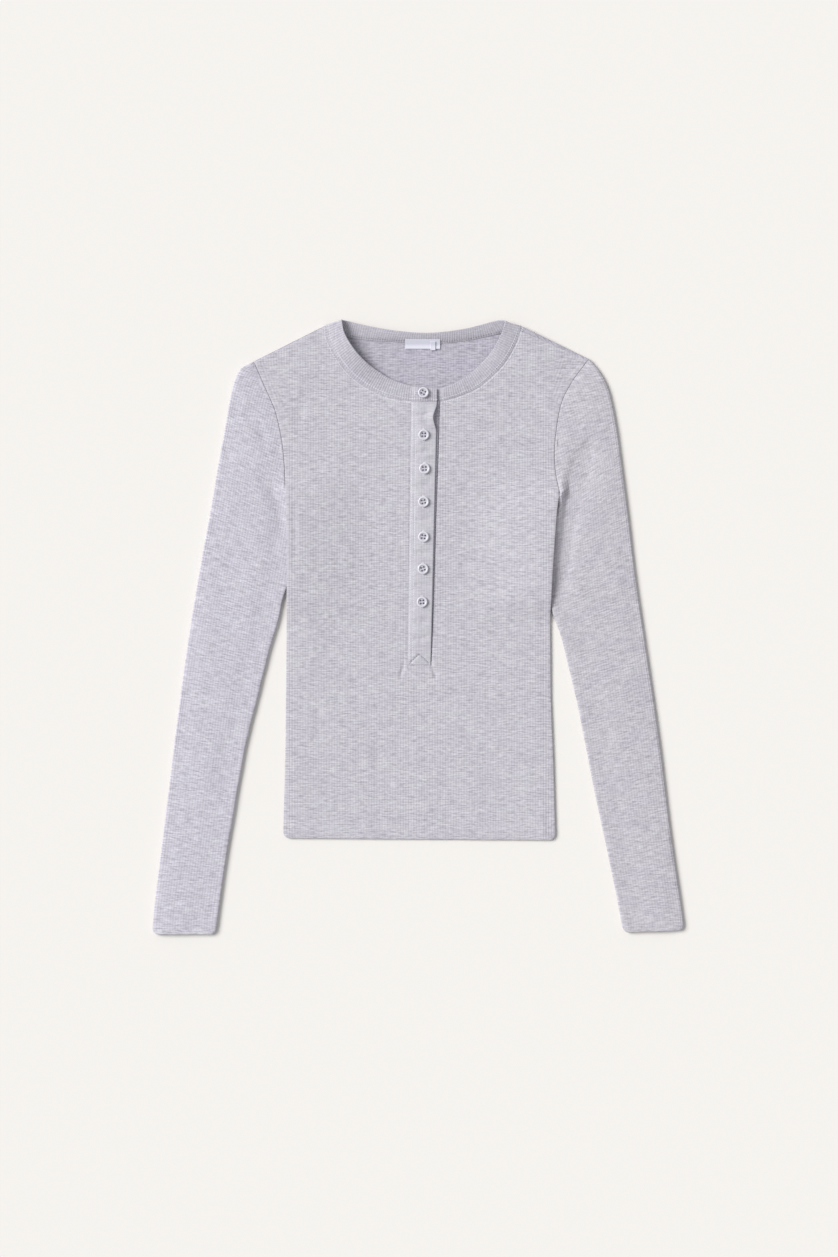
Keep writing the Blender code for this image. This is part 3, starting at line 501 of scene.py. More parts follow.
# ---------------------------------------------------------------------------------------------
# Geometry Nodes: ribs and stitches
# ---------------------------------------------------------------------------------------------
class NodeTool:
    """A Geometry Nodes tree with named inputs, put on a piece and settled."""

    inputs: tuple[tuple[str, str], ...] = ()
    name = "tool"

    def __init__(self) -> None:
        """Build the tree."""
        self.tree = bpy.data.node_groups.new(self.name, "GeometryNodeTree")
        face = self.tree.interface
        face.new_socket(name="Geometry", in_out="INPUT", socket_type="NodeSocketGeometry")
        for label, kind in self.inputs:
            face.new_socket(name=label, in_out="INPUT", socket_type=f"NodeSocket{kind}")
        face.new_socket(name="Geometry", in_out="OUTPUT", socket_type="NodeSocketGeometry")
        given = self.tree.nodes.new("NodeGroupInput").outputs
        made = self.wire(given)
        add(self.tree, "NodeGroupOutput", {0: made})

    def wire(self, given: Any) -> bpy.types.NodeSocket:
        """Wire the tree from its inputs and return the geometry it makes."""
        raise NotImplementedError

    def put_on(self, piece: bpy.types.Object, **values: Any) -> None:
        """Run the tree on a piece.

        Args:
            piece: the object, whose mesh is replaced by the result.
            values: a value for each input, its name in lower case with _ for a space.
        """
        modifier = piece.modifiers.new(self.name, "NODES")
        modifier.node_group = self.tree
        for item in self.tree.interface.items_tree:
            if item.in_out == "INPUT" and item.name != "Geometry":
                modifier[item.identifier] = values[item.name.lower().replace(" ", "_")]
        settle(piece)


class RibTool(NodeTool):
    """Sinks the grooves between the wales of a rib knit into a cloth's wall."""

    name = "rib knit"
    inputs = (("Pitch", "Float"), ("Depth", "Float"), ("Seed", "Float"), ("Material", "Material"))

    def wire(self, given: Any) -> bpy.types.NodeSocket:
        """Cosine grooves across the wale attribute, a little uneven along them."""
        tree = self.tree
        wale = add(tree, "GeometryNodeInputNamedAttribute", {"Name": "wale"}, data_type="FLOAT")
        show = add(tree, "GeometryNodeInputNamedAttribute", {"Name": "show"}, data_type="FLOAT")
        sunk = wale.outputs["Attribute"]
        for operation, other in (("DIVIDE", given["Pitch"]), ("MULTIPLY", math.tau), ("COSINE", 0.0),
                                 ("SUBTRACT", 1.0), ("MULTIPLY", 0.5), ("MULTIPLY", given["Depth"])):
            sunk = add(tree, "ShaderNodeMath", {0: sunk, 1: other}, operation=operation).outputs[0]
        place = tree.nodes.new("GeometryNodeInputPosition")
        uneven = add(tree, "ShaderNodeTexNoise",
                     {"Vector": place.outputs[0], "W": given["Seed"], "Scale": 90.0, "Detail": 2.0},
                     noise_dimensions="4D")
        share = add(tree, "ShaderNodeMapRange", {"Value": uneven.outputs[0], "To Min": 0.55, "To Max": 1.45})
        for other in (share.outputs[0], show.outputs["Attribute"]):
            sunk = add(tree, "ShaderNodeMath", {0: sunk, 1: other}, operation="MULTIPLY").outputs[0]
        normal = tree.nodes.new("GeometryNodeInputNormal")
        push = add(tree, "ShaderNodeVectorMath", {0: normal.outputs[0], "Scale": sunk},
                   operation="SCALE")
        moved = add(tree, "GeometryNodeSetPosition",
                    {"Geometry": given["Geometry"], "Offset": push.outputs[0]})
        return add(tree, "GeometryNodeSetMaterial",
                   {"Geometry": moved.outputs[0], "Material": given["Material"]}).outputs[0]


class StitchTool(NodeTool):
    """Lays one thread stitch after another along a line on the cloth."""

    name = "thread stitches"
    inputs = (("Stitch", "Float"), ("Pitch", "Float"), ("Thread", "Float"), ("Turn", "Float"),
              ("Seed", "Int"), ("Material", "Material"))

    def wire(self, given: Any) -> bpy.types.NodeSocket:
        """Drop-shaped stitches on a resampled curve, each turned and sized a little differently."""
        tree = self.tree
        curve = add(tree, "GeometryNodeMeshToCurve", {"Mesh": given["Geometry"]})
        points = add(tree, "GeometryNodeResampleCurve",
                     {"Curve": curve.outputs[0], "Length": given["Pitch"]}, mode="LENGTH")
        drop = add(tree, "GeometryNodeMeshUVSphere", {"Segments": 8, "Rings": 6, "Radius": 0.5})
        size = add(tree, "ShaderNodeCombineXYZ",
                   {0: given["Stitch"], 1: given["Thread"], 2: given["Thread"]})
        shaped = add(tree, "GeometryNodeTransform",
                     {"Geometry": drop.outputs[0], "Scale": size.outputs[0]})
        tangent = tree.nodes.new("GeometryNodeInputTangent")
        facing = add(tree, "FunctionNodeAlignRotationToVector", {"Vector": tangent.outputs[0]}, axis="X")
        turned = add(tree, "ShaderNodeCombineXYZ", {2: given["Turn"]})
        spread = add(tree, "FunctionNodeRandomValue",
                     {0: (-0.05, -0.05, -0.09), 1: (0.05, 0.05, 0.09), "Seed": given["Seed"]},
                     data_type="FLOAT_VECTOR")
        swing = add(tree, "ShaderNodeVectorMath", {0: turned.outputs[0], 1: spread.outputs[0]})
        rolled = add(tree, "FunctionNodeRotateRotation",
                     {"Rotation": facing.outputs[0], "Rotate By": swing.outputs[0]},
                     rotation_space="LOCAL")
        grown = add(tree, "FunctionNodeRandomValue",
                    {0: (0.85, 0.9, 0.9), 1: (1.08, 1.1, 1.1), "Seed": given["Seed"]},
                    data_type="FLOAT_VECTOR")
        laid = add(tree, "GeometryNodeInstanceOnPoints",
                   {"Points": points.outputs[0], "Instance": shaped.outputs[0],
                    "Rotation": rolled.outputs[0], "Scale": grown.outputs[0]})
        real = add(tree, "GeometryNodeRealizeInstances", {0: laid.outputs[0]})
        soft = add(tree, "GeometryNodeSetShadeSmooth", {0: real.outputs[0]})
        return add(tree, "GeometryNodeSetMaterial",
                   {"Geometry": soft.outputs[0], "Material": given["Material"]}).outputs[0]


# ---------------------------------------------------------------------------------------------
# Finishes
# ---------------------------------------------------------------------------------------------
def linear(code: str) -> tuple[float, float, float, float]:
    """Linear colour of an sRGB hex value."""
    parts = [int(code[k:k + 2], 16) / 255.0 for k in (1, 3, 5)]
    return (*(c / 12.92 if c <= 0.04045 else ((c + 0.055) / 1.055) ** 2.4 for c in parts), 1.0)


def new_material(name: str) -> tuple[bpy.types.Material, Any]:
    """Make a material and return it with its shader node."""
    material = bpy.data.materials.new(name)
    material.use_nodes = True
    return material, material.node_tree.nodes["Principled BSDF"]


@dataclass(frozen=True)
class HeatherJersey:
    """Cotton rib jersey knitted from mixed pale and grey fibres, brushed soft by washing.

    The mixed yarn shows as short flecks along each course, across the wales, on a paler ground.
    The surface is matt with a faint halo of loose fibre, which is a little sheen and a fine nap.
    """

    name: str
    pale: str
    middle: str
    dark: str
    fleck: tuple[float, float] = (10.5, 1.4)  # length along the course and height, mm
    cloud: tuple[float, float] = (34.0, 8.0)  # slower drift of tone, mm
    contrast: float = 1.0
    seed: float = 0.0
    shade_between_wales: tuple[float, float] = (2.8, 0.07)  # width of a wale, mm, and how much painted shade darkens the colour between two

    def material(self) -> bpy.types.Material:
        """Build the node material, which reads the cloth's own UV map in metres."""
        material, shader = new_material(self.name)
        tree = material.node_tree
        plan = add(tree, "ShaderNodeUVMap", uv_map="cloth")

        def noise(size: tuple[float, float], detail: float, turn: float, shift: float) -> Any:
            """Noise stretched to a size in millimetres."""
            placed = add(tree, "ShaderNodeMapping", {
                "Vector": plan.outputs[0], "Location": (shift, self.seed, 0.0),
                "Rotation": (0.0, 0.0, turn), "Scale": (1000.0 / size[0], 1000.0 / size[1], 1.0)})
            return add(tree, "ShaderNodeTexNoise", {
                "Vector": placed.outputs[0], "Scale": 1.0, "Detail": detail, "Roughness": 0.62}).outputs[0]

        flecks = noise(self.fleck, 3.0, 0.0, 3.1)
        crossing = noise((self.fleck[0] * 0.45, self.fleck[1] * 0.9), 2.0, 0.05, 9.7)
        drift = noise(self.cloud, 2.0, -0.08, 17.3)
        both = add(tree, "ShaderNodeMix", {0: 0.4, 2: flecks, 3: crossing}, data_type="FLOAT")
        tone = add(tree, "ShaderNodeMix", {0: 0.1, 2: both.outputs[0], 3: drift}, data_type="FLOAT")
        ramp = add(tree, "ShaderNodeValToRGB", {0: tone.outputs[0]})
        steps = ramp.color_ramp.elements
        half = 0.15 / self.contrast
        steps[0].position, steps[0].color = 0.5 - half, linear(self.dark)
        steps[1].position, steps[1].color = 0.5 + half, linear(self.pale)
        steps.new(0.5).color = linear(self.middle)
        tint = add(tree, "ShaderNodeMapRange", {
            "Value": noise((38.0, 17.0), 1.0, 0.4, 31.0), "From Min": 0.3, "From Max": 0.7})
        warm = add(tree, "ShaderNodeMix", {6: ramp.outputs[0], 7: linear("#fbf9fc"), 0: tint.outputs[0]},
                   data_type="RGBA", blend_type="MULTIPLY")
        # painted shade: the colour is darkened in the grooves between the wales, where shade falls
        pitch, dark = self.shade_between_wales
        across = add(tree, "ShaderNodeSeparateXYZ", {0: plan.outputs[0]})
        turns = add(tree, "ShaderNodeMath", {0: across.outputs[0], 1: math.tau / (pitch * MM)},
                    operation="MULTIPLY")
        wave = add(tree, "ShaderNodeMath", {0: turns.outputs[0]}, operation="COSINE")
        shade = add(tree, "ShaderNodeMapRange",
                    {"Value": wave.outputs[0], "From Min": -1.0, "To Min": 1.0 - dark, "To Max": 1.0})
        shaded_colour = add(tree, "ShaderNodeVectorMath", {0: warm.outputs[2], "Scale": shade.outputs[0]},
                     operation="SCALE")
        # loops of the knit, drawn as coarse as they need to show, and the nap on them
        loops = noise((0.9, 0.7), 2.0, 0.0, 47.0)
        relief = add(tree, "ShaderNodeBump", {"Height": loops, "Strength": 0.35, "Distance": 0.0003})
        yarn = add(tree, "ShaderNodeBump",
                   {"Height": flecks, "Strength": 0.22, "Distance": 0.0006, "Normal": relief.outputs[0]})
        feed(shader, {
            "Base Color": shaded_colour.outputs[0], "Normal": yarn.outputs[0], "Roughness": 0.92,
            "Specular IOR Level": 0.18, "Sheen Weight": 0.16, "Sheen Roughness": 0.6,
            "Sheen Tint": linear("#efeaf6")})
        return material


@dataclass(frozen=True)
class Thread:
    """Spun polyester sewing thread, two plies twisted, slightly glossier than the jersey."""

    name: str
    colour: str

    def material(self) -> bpy.types.Material:
        """Build the node material with the ply twist across each stitch."""
        material, shader = new_material(self.name)
        tree = material.node_tree
        place = add(tree, "ShaderNodeTexCoord")
        twist = add(tree, "ShaderNodeTexWave",
                    {"Vector": place.outputs["Object"], "Scale": 420.0, "Distortion": 1.5},
                    bands_direction="DIAGONAL")
        shade = add(tree, "ShaderNodeMix", {0: 0.25, 6: linear(self.colour), 7: twist.outputs["Color"]},
                    data_type="RGBA", blend_type="SOFT_LIGHT")
        ply = add(tree, "ShaderNodeBump",
                  {"Height": twist.outputs["Fac"], "Strength": 0.4, "Distance": 0.0001})
        feed(shader, {"Base Color": shade.outputs[2], "Normal": ply.outputs[0], "Roughness": 0.6})
        return material


@dataclass(frozen=True)
class WovenSatin:
    """Polyester satin tape, woven with floating warp, so it is smooth with a soft sheen."""

    name: str
    colour: str
    weft: float = 0.55  # drawn as coarse as it needs to show, mm

    def material(self) -> bpy.types.Material:
        """Build the node material with fine rows of weave."""
        material, shader = new_material(self.name)
        tree = material.node_tree
        plan = add(tree, "ShaderNodeUVMap", uv_map="cloth")
        rows = add(tree, "ShaderNodeTexWave",
                   {"Vector": plan.outputs[0], "Scale": math.tau / (20.0 * self.weft * MM),
                    "Distortion": 0.6, "Detail": 1.0}, bands_direction="Y")
        cloudy = add(tree, "ShaderNodeTexNoise", {"Vector": plan.outputs[0], "Scale": 260.0})
        tone = add(tree, "ShaderNodeMix", {0: 0.08, 6: linear(self.colour), 7: cloudy.outputs["Color"]},
                   data_type="RGBA", blend_type="MULTIPLY")
        weave = add(tree, "ShaderNodeBump",
                    {"Height": rows.outputs["Fac"], "Strength": 0.2, "Distance": 0.0001})
        feed(shader, {"Base Color": tone.outputs[2], "Normal": weave.outputs[0], "Roughness": 0.42,
                      "Sheen Weight": 0.2})
        return material


@dataclass(frozen=True)
class ButtonPolyester:
    """Cast polyester resin, turned and tumbled, pale grey with a faint pearl cloud and a soft gloss."""

    name: str
    pale: str
    cloudy: str
    plate: str

    def material(self) -> bpy.types.Material:
        """Build the node material, paler on the rim as a painted highlight and darker on the sunk plate as
        painted shade, as the mesh's rim attribute says.
        """
        material, shader = new_material(self.name)
        tree = material.node_tree
        place = add(tree, "ShaderNodeTexCoord")
        swirl = add(tree, "ShaderNodeTexNoise",
                    {"Vector": place.outputs["Object"], "Scale": 420.0, "Detail": 3.0, "Distortion": 1.2})
        rim = add(tree, "ShaderNodeAttribute", attribute_name="rim")
        plate = add(tree, "ShaderNodeMix",
                    {0: swirl.outputs[0], 6: linear(self.cloudy), 7: linear(self.plate)}, data_type="RGBA")
        tone = add(tree, "ShaderNodeMix",
                   {0: rim.outputs["Fac"], 6: plate.outputs[2], 7: linear(self.pale)}, data_type="RGBA")
        tumbled = add(tree, "ShaderNodeBump",
                      {"Height": swirl.outputs[0], "Strength": 0.08, "Distance": 0.0001})
        feed(shader, {"Base Color": tone.outputs[2], "Normal": tumbled.outputs[0], "Roughness": 0.3,
                      "IOR": 1.55, "Coat Weight": 0.15, "Coat Roughness": 0.15})
        return material


@dataclass
class Workroom:
    """What every sub-assembly needs: the pattern, its lay, the tools and the finishes."""

    pattern: Pattern
    lay: Lay
    ribs: RibTool
    stitches: StitchTool
    finishes: dict[str, bpy.types.Material]
    origin: Array
    least_sheet: float = 0.01  # least width of a tag, in metres

    def sew(self, cloth: Cloth, finish: str, slot: str, pitch: float, depth: float,
            rests_on: Sequence[str] = (), goes_with: Sequence[bpy.types.Object] = (),
            ) -> bpy.types.Object:
        """Args:
            cloth: the cloth's grid, named as the solid it stands for.
            finish: name of its finish.
            slot: the record's material slot; not used.
            pitch: width of one wale in millimetres, 0 for a woven cloth.
            depth: depth of the grooves in millimetres.
            rests_on: the pieces that it lies on; not used.
            goes_with: small pieces sewn to it; not used.

        Returns:
            The finished piece.
        """
        node = cloth.name
        cloth.name = f"{node}_cloth"
        piece, area = cloth.build(self.origin)
        if pitch:
            self.ribs.put_on(piece, pitch=pitch * MM, depth=depth * MM, seed=float(len(node)),
                             material=self.finishes[finish])
        else:
            settle(piece)
        piece.data.materials.clear()
        piece.data.materials.append(self.finishes[finish])
        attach(piece, "root")
        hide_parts(node)
        return piece

    def stitch(self, name: str, line: Array, slot: str, stitch: float = 2.2, pitch: float = 3.0,
               thread: float = 0.5, turn: float = 0.0, finish: str = "thread") -> bpy.types.Object:
        """Sew a row of stitches along a line of points on the cloth.

        Args:
            name: the piece's name.
            line: points in millimetres, or several lines as a list.
            slot: the record's material slot; not used.
            stitch: length of a stitch.
            pitch: from one stitch to the next.
            thread: the thread's width.
            turn: angle of a stitch to the line.
            finish: name of the thread's finish.

        Returns:
            The stitches' piece.
        """
        lines = line if isinstance(line, list) else [line]
        points, edges = [], []
        for one in lines:
            start = len(points)
            points += ((one - self.origin) * MM).tolist()
            edges += [(start + k, start + k + 1) for k in range(len(one) - 1)]
        mesh = bpy.data.meshes.new(name)
        mesh.from_pydata(points, edges, [])
        piece = put(name, mesh)
        self.stitches.put_on(piece, stitch=stitch * MM, pitch=pitch * MM, thread=thread * MM, turn=turn,
                             seed=len(name), material=self.finishes[finish])
        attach(piece, "root")
        log.info("%s: %d faces", name, len(piece.data.polygons))
        return piece


# ---------------------------------------------------------------------------------------------
# Body
# ---------------------------------------------------------------------------------------------
@dataclass
class BodyPanels:
    """The front and back panels, cut with their wales upright."""

    room: Workroom
    wale: float = 2.8  # two courses of rib as one, as coarse as it needs to show
    rib_depth: float = 0.2
    straight: float = 132.0  # columns are upright out to here, and fan out beyond
    fan_cells: int = 70
    hem_corner: float = 7.0
    hem_turn: tuple[float, ...] = (5.0, 7.5, 10.8, 12.0, 13.2, 14.6)  # close rows at the turned edge
    head_y: float = 300.0  # the columns run straight up from here
    lower_rows: int = 10
    foot_step: float = 3.6  # rows this close just below the placket's foot
    foot_even: float = 15.0  # the columns even out over this length below it
    leaning: tuple[float, float] = (-20.0, 30.0)  # the columns lean with the slit between these x
    slit_cells: tuple[int, int, int] = (17, 42, 25)  # columns left of the slit, in it and right of it
    upper_rows: int = 43
    ditch: tuple[float, float] = (0.55, 1.2)  # depth and reach of the seams' ditches
    back_curl: float = 0.15  # rise of the back panel's edges
    front_curl: float = 0.45  # fall of the front panel's free edges
    curl: float = 0.9  # radius of the back panel's shoulder edges
    front_drawn: dict[Side, tuple[float, float]] = pair((0.6, 0.6), (4.2, 1.4))
    back_wrap: dict[Side, tuple[float, float]] = pair((0.6, 0.6), (3.6, 0.8))

    def top_line(self, back: bool) -> Callable[[Array], Array]:
        """Upper edge of a panel as a function of x."""
        pattern = self.room.pattern
        parts: list[tuple[Side, Array]] = []
        for side in SIDES:
            if back:
                rows = [(row[0], row[1] - SEAM_GAP) for row in pattern.back_band]
                half = rows[1:7] if side is Side.LEFT else rows[6:-1][::-1]
                neck = smooth([pattern.neck[side][0], *half])
            else:
                neck = smooth(pattern.neck[side])
            parts.append((side, neck[np.argsort(neck[:, 0])]))

        def top(x: Array) -> Array:
            """Top y at x."""
            x = np.asarray(x, float)
            y = np.zeros(x.shape)
            for side, neck in parts:
                drawn = (1.0, 1.0) if back else self.front_drawn[side]
                line = pattern.shoulder(side, x, drawn)
                reach = np.interp(x, neck[:, 0], neck[:, 1])
                y = np.where(x * side.value >= 0, np.minimum(line, reach), y)
            return y

        return top

    def columns(self, slit: bool) -> list[tuple[str, float]]:
        """Kinds and places of the columns from the left edge to the right one."""
        step = self.wale / 4.0
        found: list[tuple[str, float]] = [("edge-", away) for away in ROLL]
        fan = np.linspace(1.0, 0.0, self.fan_cells, endpoint=False)[1:]
        found += [("fan-", part) for part in fan]
        if slit:
            before, inside, after = (np.linspace(0.0, 1.0, cells) for cells in self.slit_cells)
            found += [("at", x) for x in np.arange(-self.straight, self.leaning[0], step)]
            found += [("slitL", part) for part in before[:-4]]
            found += [("slitL-", away) for away in ROLL[4::-1]]
            found += [("gap", part) for part in inside[1:-1]]
            found += [("slitR-", away) for away in ROLL[:5]]
            found += [("slitR", part) for part in after[::-1][4:]]
            found += [("at", x) for x in np.arange(self.leaning[1] + step, self.straight, step)]
        else:
            found += [("at", x) for x in np.arange(-self.straight, self.straight, step)]
        found += [("fan+", part) for part in fan[::-1]]
        found += [("edge+", away) for away in ROLL[::-1]]
        return found

    def place(self, kind: str, value: float, y: Array, inset: Array) -> Array:
        """x of a column at heights y."""
        pattern = self.room.pattern
        if kind in ("edge-", "edge+", "fan-", "fan+"):
            side = Side.LEFT if kind.endswith("-") else Side.RIGHT
            edge = pattern.edge(side, y) - SEAM_GAP / 2 - inset
            if kind.startswith("edge"):
                return side.value * (edge - value)
            return side.value * lerp(self.straight, edge - ROLL[-1], value)
        left, right = (pattern.slit(which, np.maximum(y, pattern.slit_foot_y)) for which in (0, 1))
        if kind == "slitL":
            return lerp(self.leaning[0], left - ROLL[4], value / 0.8)
        if kind == "slitL-":
            return left - value
        if kind == "gap":
            return lerp(left, right, value)
        if kind == "slitR-":
            return right + value
        if kind == "slitR":
            return lerp(self.leaning[1], right + ROLL[4], value / 0.85)
        return np.full(np.shape(y), value)

    def plan(self, back: bool) -> tuple[Array, Array, Array, Array, int]:
        """Grid of plan points.

        Args:
            back: whether it is the back panel.

        Returns:
            x, y, distance to the nearest edge, distance to the nearest seam, the slit's first row.
        """
        pattern = self.room.pattern
        top = self.top_line(back)
        columns = self.columns(not back)
        foot = pattern.slit_foot_y
        hem_steps = [*ROLL, *self.hem_turn]
        reach = foot - pattern.side[Side.LEFT][0][1]
        hem_steps += list(np.linspace(16.0, reach - 5 * self.foot_step, self.lower_rows)[1:])
        hem_steps += [reach - k * self.foot_step for k in range(4, 0, -1)]
        hem_rows = np.array(hem_steps)
        x_grid, y_grid = [], []
        slit_columns = [k for k, (kind, _) in enumerate(columns) if kind[:3] in ("sli", "gap")]
        for number, (kind, value) in enumerate(columns):
            x_foot = float(self.place(kind, value, np.array([foot]), np.zeros(1))[0])
            x_top = x_foot
            for _ in range(4):
                y_top = float(top(np.array([x_top]))[0])
                x_top = float(self.place(kind, value, np.array([min(y_top, self.head_y)]), np.zeros(1))[0])
            low = lerp(pattern.hem(x_foot), foot, hem_rows / reach)
            inset = self.corner(hem_rows)
            ends = [away for away in ROLL if away > 0.0]
            high = np.concatenate([
                np.linspace(foot, y_top - ends[-1], self.upper_rows, endpoint=False),
                y_top - np.array(ends[::-1] + [0.0])])
            low_x = self.place(kind, value, low, inset)
            if number in slit_columns:
                share = (number - slit_columns[0]) / (len(slit_columns) - 1)
                low_x = lerp(lerp(*self.leaning, share), low_x, ease(1.0 - (foot - low) / self.foot_even))
            y_grid.append(np.concatenate([low, high]))
            x_grid.append(np.concatenate([low_x, self.place(kind, value, high, np.zeros(high.shape))]))
        x, y = np.array(x_grid).T, np.array(y_grid).T
        first = len(hem_rows)
        from_hem = np.concatenate([hem_rows, np.full(len(y) - first, FAR)])[:, None]
        from_top = np.maximum(y[-1][None] - y, 0.0)
        sides, arm, slit = (np.full(x.shape, FAR) for _ in range(3))
        for side in SIDES:
            away = pattern.edge(side, y) - SEAM_GAP / 2 - np.abs(x)
            here = x * side.value > 0
            sides = np.where(here, away - self.corner(from_hem), sides)
            arm = np.where(here & (y > pattern.armhole[side][0][1]), away, arm)
        if not back:
            upper = y >= foot - 0.01
            slit = np.where(upper & (x < 0), pattern.slit(0, y) - x, slit)
            slit = np.where(upper & (x > 0), x - pattern.slit(1, y), slit)
            slit = np.where(slit < -0.01, FAR, slit)
        edge = np.minimum.reduce([np.broadcast_to(from_hem, x.shape), from_top, sides, slit])
        return x, y, np.maximum(edge, 0.0), np.minimum.reduce([arm, from_top, slit]), first

    def corner(self, steps: Array) -> Array:
        """How far the hem's rounded corner has drawn in at heights above the hem."""
        r = self.hem_corner
        return np.where(steps < r, r - np.sqrt(np.maximum(r * r - (r - steps) ** 2, 0.0)), 0.0)

    def build(self) -> None:
        """Make the back and then the front panel."""
        room, lay = self.room, self.room.lay
        x, y, edge, _, _ = self.plan(True)
        z = lay.back(x, y) + self.back_curl * np.exp(-((edge / 2.0) ** 2))
        points = np.stack([x, y, z], axis=-1)
        uv = np.stack([x, y], axis=-1)
        thick, show = rounded(edge, 0.9)
        points, uv, thick, show, keep = self.wrap_shoulders(points, uv, thick, show)
        # the back panel takes the darker jersey copy, painted shade for inside the neck
        room.sew(Cloth("back_panel", points, uv, thick, show, lay.cloth, keep),
                 "inside", "rib_jersey", self.wale, self.rib_depth)

        x, y, edge, seam, first = self.plan(False)
        ditch = self.ditch[0] * np.exp(-((seam / self.ditch[1]) ** 2))
        ditch = np.where(np.abs(x) > 125.0, 0.6 * ditch, np.where(x < 0.0, 0.8 * ditch, 1.4 * ditch))
        free = np.where(seam > 3.0, self.front_curl * np.exp(-((edge / 1.5) ** 2)), 0.0)
        z = lay.front(x, y) - ditch - free
        keep = np.ones((x.shape[0] - 1, x.shape[1] - 1), bool)
        row = first + 5  # any row beside the slit will do
        middle = 0.5 * (x[row, :-1] + x[row, 1:])
        left, right = (lay.pattern.slit(which, y[row, :-1]) for which in (0, 1))
        in_slit = (middle > left) & (middle < right)
        keep[first:, in_slit] = False
        thick, show = rounded(edge, 0.9)
        room.sew(Cloth("front_panel", np.stack([x, y, z], axis=-1), np.stack([x, y], axis=-1), thick,
                       show, lay.cloth, keep),
                 "jersey", "rib_jersey", self.wale, self.rib_depth, ["back_panel_cloth"])

    def wrap_shoulders(self, points: Array, uv: Array, thick: Array, show: Array
                       ) -> tuple[Array, Array, Array, Array, Array]:
        """Curl the back panel's shoulder edges up, and over to the front on the right.

        Args:
            points: the panel's grid.
            uv: its plan.
            thick: its thickness.
            show: its rib weight.

        Returns:
            The four with the curl's rows added, and the cells that are cloth.
        """
        pattern, lay = self.room.pattern, self.room.lay
        last = points[-1]
        x, y, z = last.T
        turns = np.linspace(-90.0, 90.0, 8)[1:]
        rows, plans = [], []
        over = x > 0
        wrap = np.zeros(x.shape)
        on = np.zeros(x.shape, bool)
        for side in SIDES:
            tip, corner = pattern.armhole[side][-1][0], pattern.neck[side][0][0]
            here = (x * side.value > abs(corner)) & (x * side.value > 0)
            s = np.clip((x - tip) / (corner - tip), 0.0, 1.0)
            wrap = np.where(here, lerp(self.back_wrap[side][1], self.back_wrap[side][0], s), wrap)
            on |= here
        z_front = lay.front(x, y) - np.where(over, 0.0, lay.cloth / 2 + SEAM_GAP)
        out = np.column_stack([np.where(over, 0.45, -0.45), np.full(x.shape, 0.9)])
        limit = np.where(over, 90.0, 35.0)
        for turn in turns:
            angle = np.radians(np.minimum(turn, limit))
            away = self.curl * np.cos(angle)
            rise = lerp(z, z_front, 0.5 + 0.5 * np.sin(angle))
            rows.append(np.column_stack([x + out[:, 0] * away, y + out[:, 1] * away, rise]))
            plans.append(np.column_stack([x, y + 2.0 + turn / 60.0]))
        for k in range(1, 5):
            back = np.where(over, wrap * k / 4.0, 0.0)
            away = self.curl * np.cos(np.radians(limit)) - back
            rise = lerp(z, z_front, 0.5 + 0.5 * np.sin(np.radians(limit)))
            rows.append(np.column_stack([x + out[:, 0] * away, y + out[:, 1] * away, rise - 0.05 * k]))
            plans.append(np.column_stack([x, y + 3.5 + back]))
        grid = np.concatenate([points, np.array(rows)])
        plan = np.concatenate([uv, np.array(plans)])
        soft = np.where(on, 1.0, thick[-1])
        thick = np.vstack([thick[:-1], np.where(on, 1.0, thick[-1])[None], np.repeat(soft[None], 10, 0),
                           np.where(on, 0.4, 1.0)[None]])
        thick[-12 - len(ROLL):-11, :] = np.where(on, 1.0, thick[-12 - len(ROLL):-11, :])
        show = np.vstack([show, np.repeat(np.where(on, 0.6, 0.0)[None], 10, 0), np.zeros((1, len(x)))])
        keep = np.ones((grid.shape[0] - 1, grid.shape[1] - 1), bool)
        keep[len(points) - 1:] = (on[:-1] & on[1:])[None]
        return grid, plan, thick, show, keep


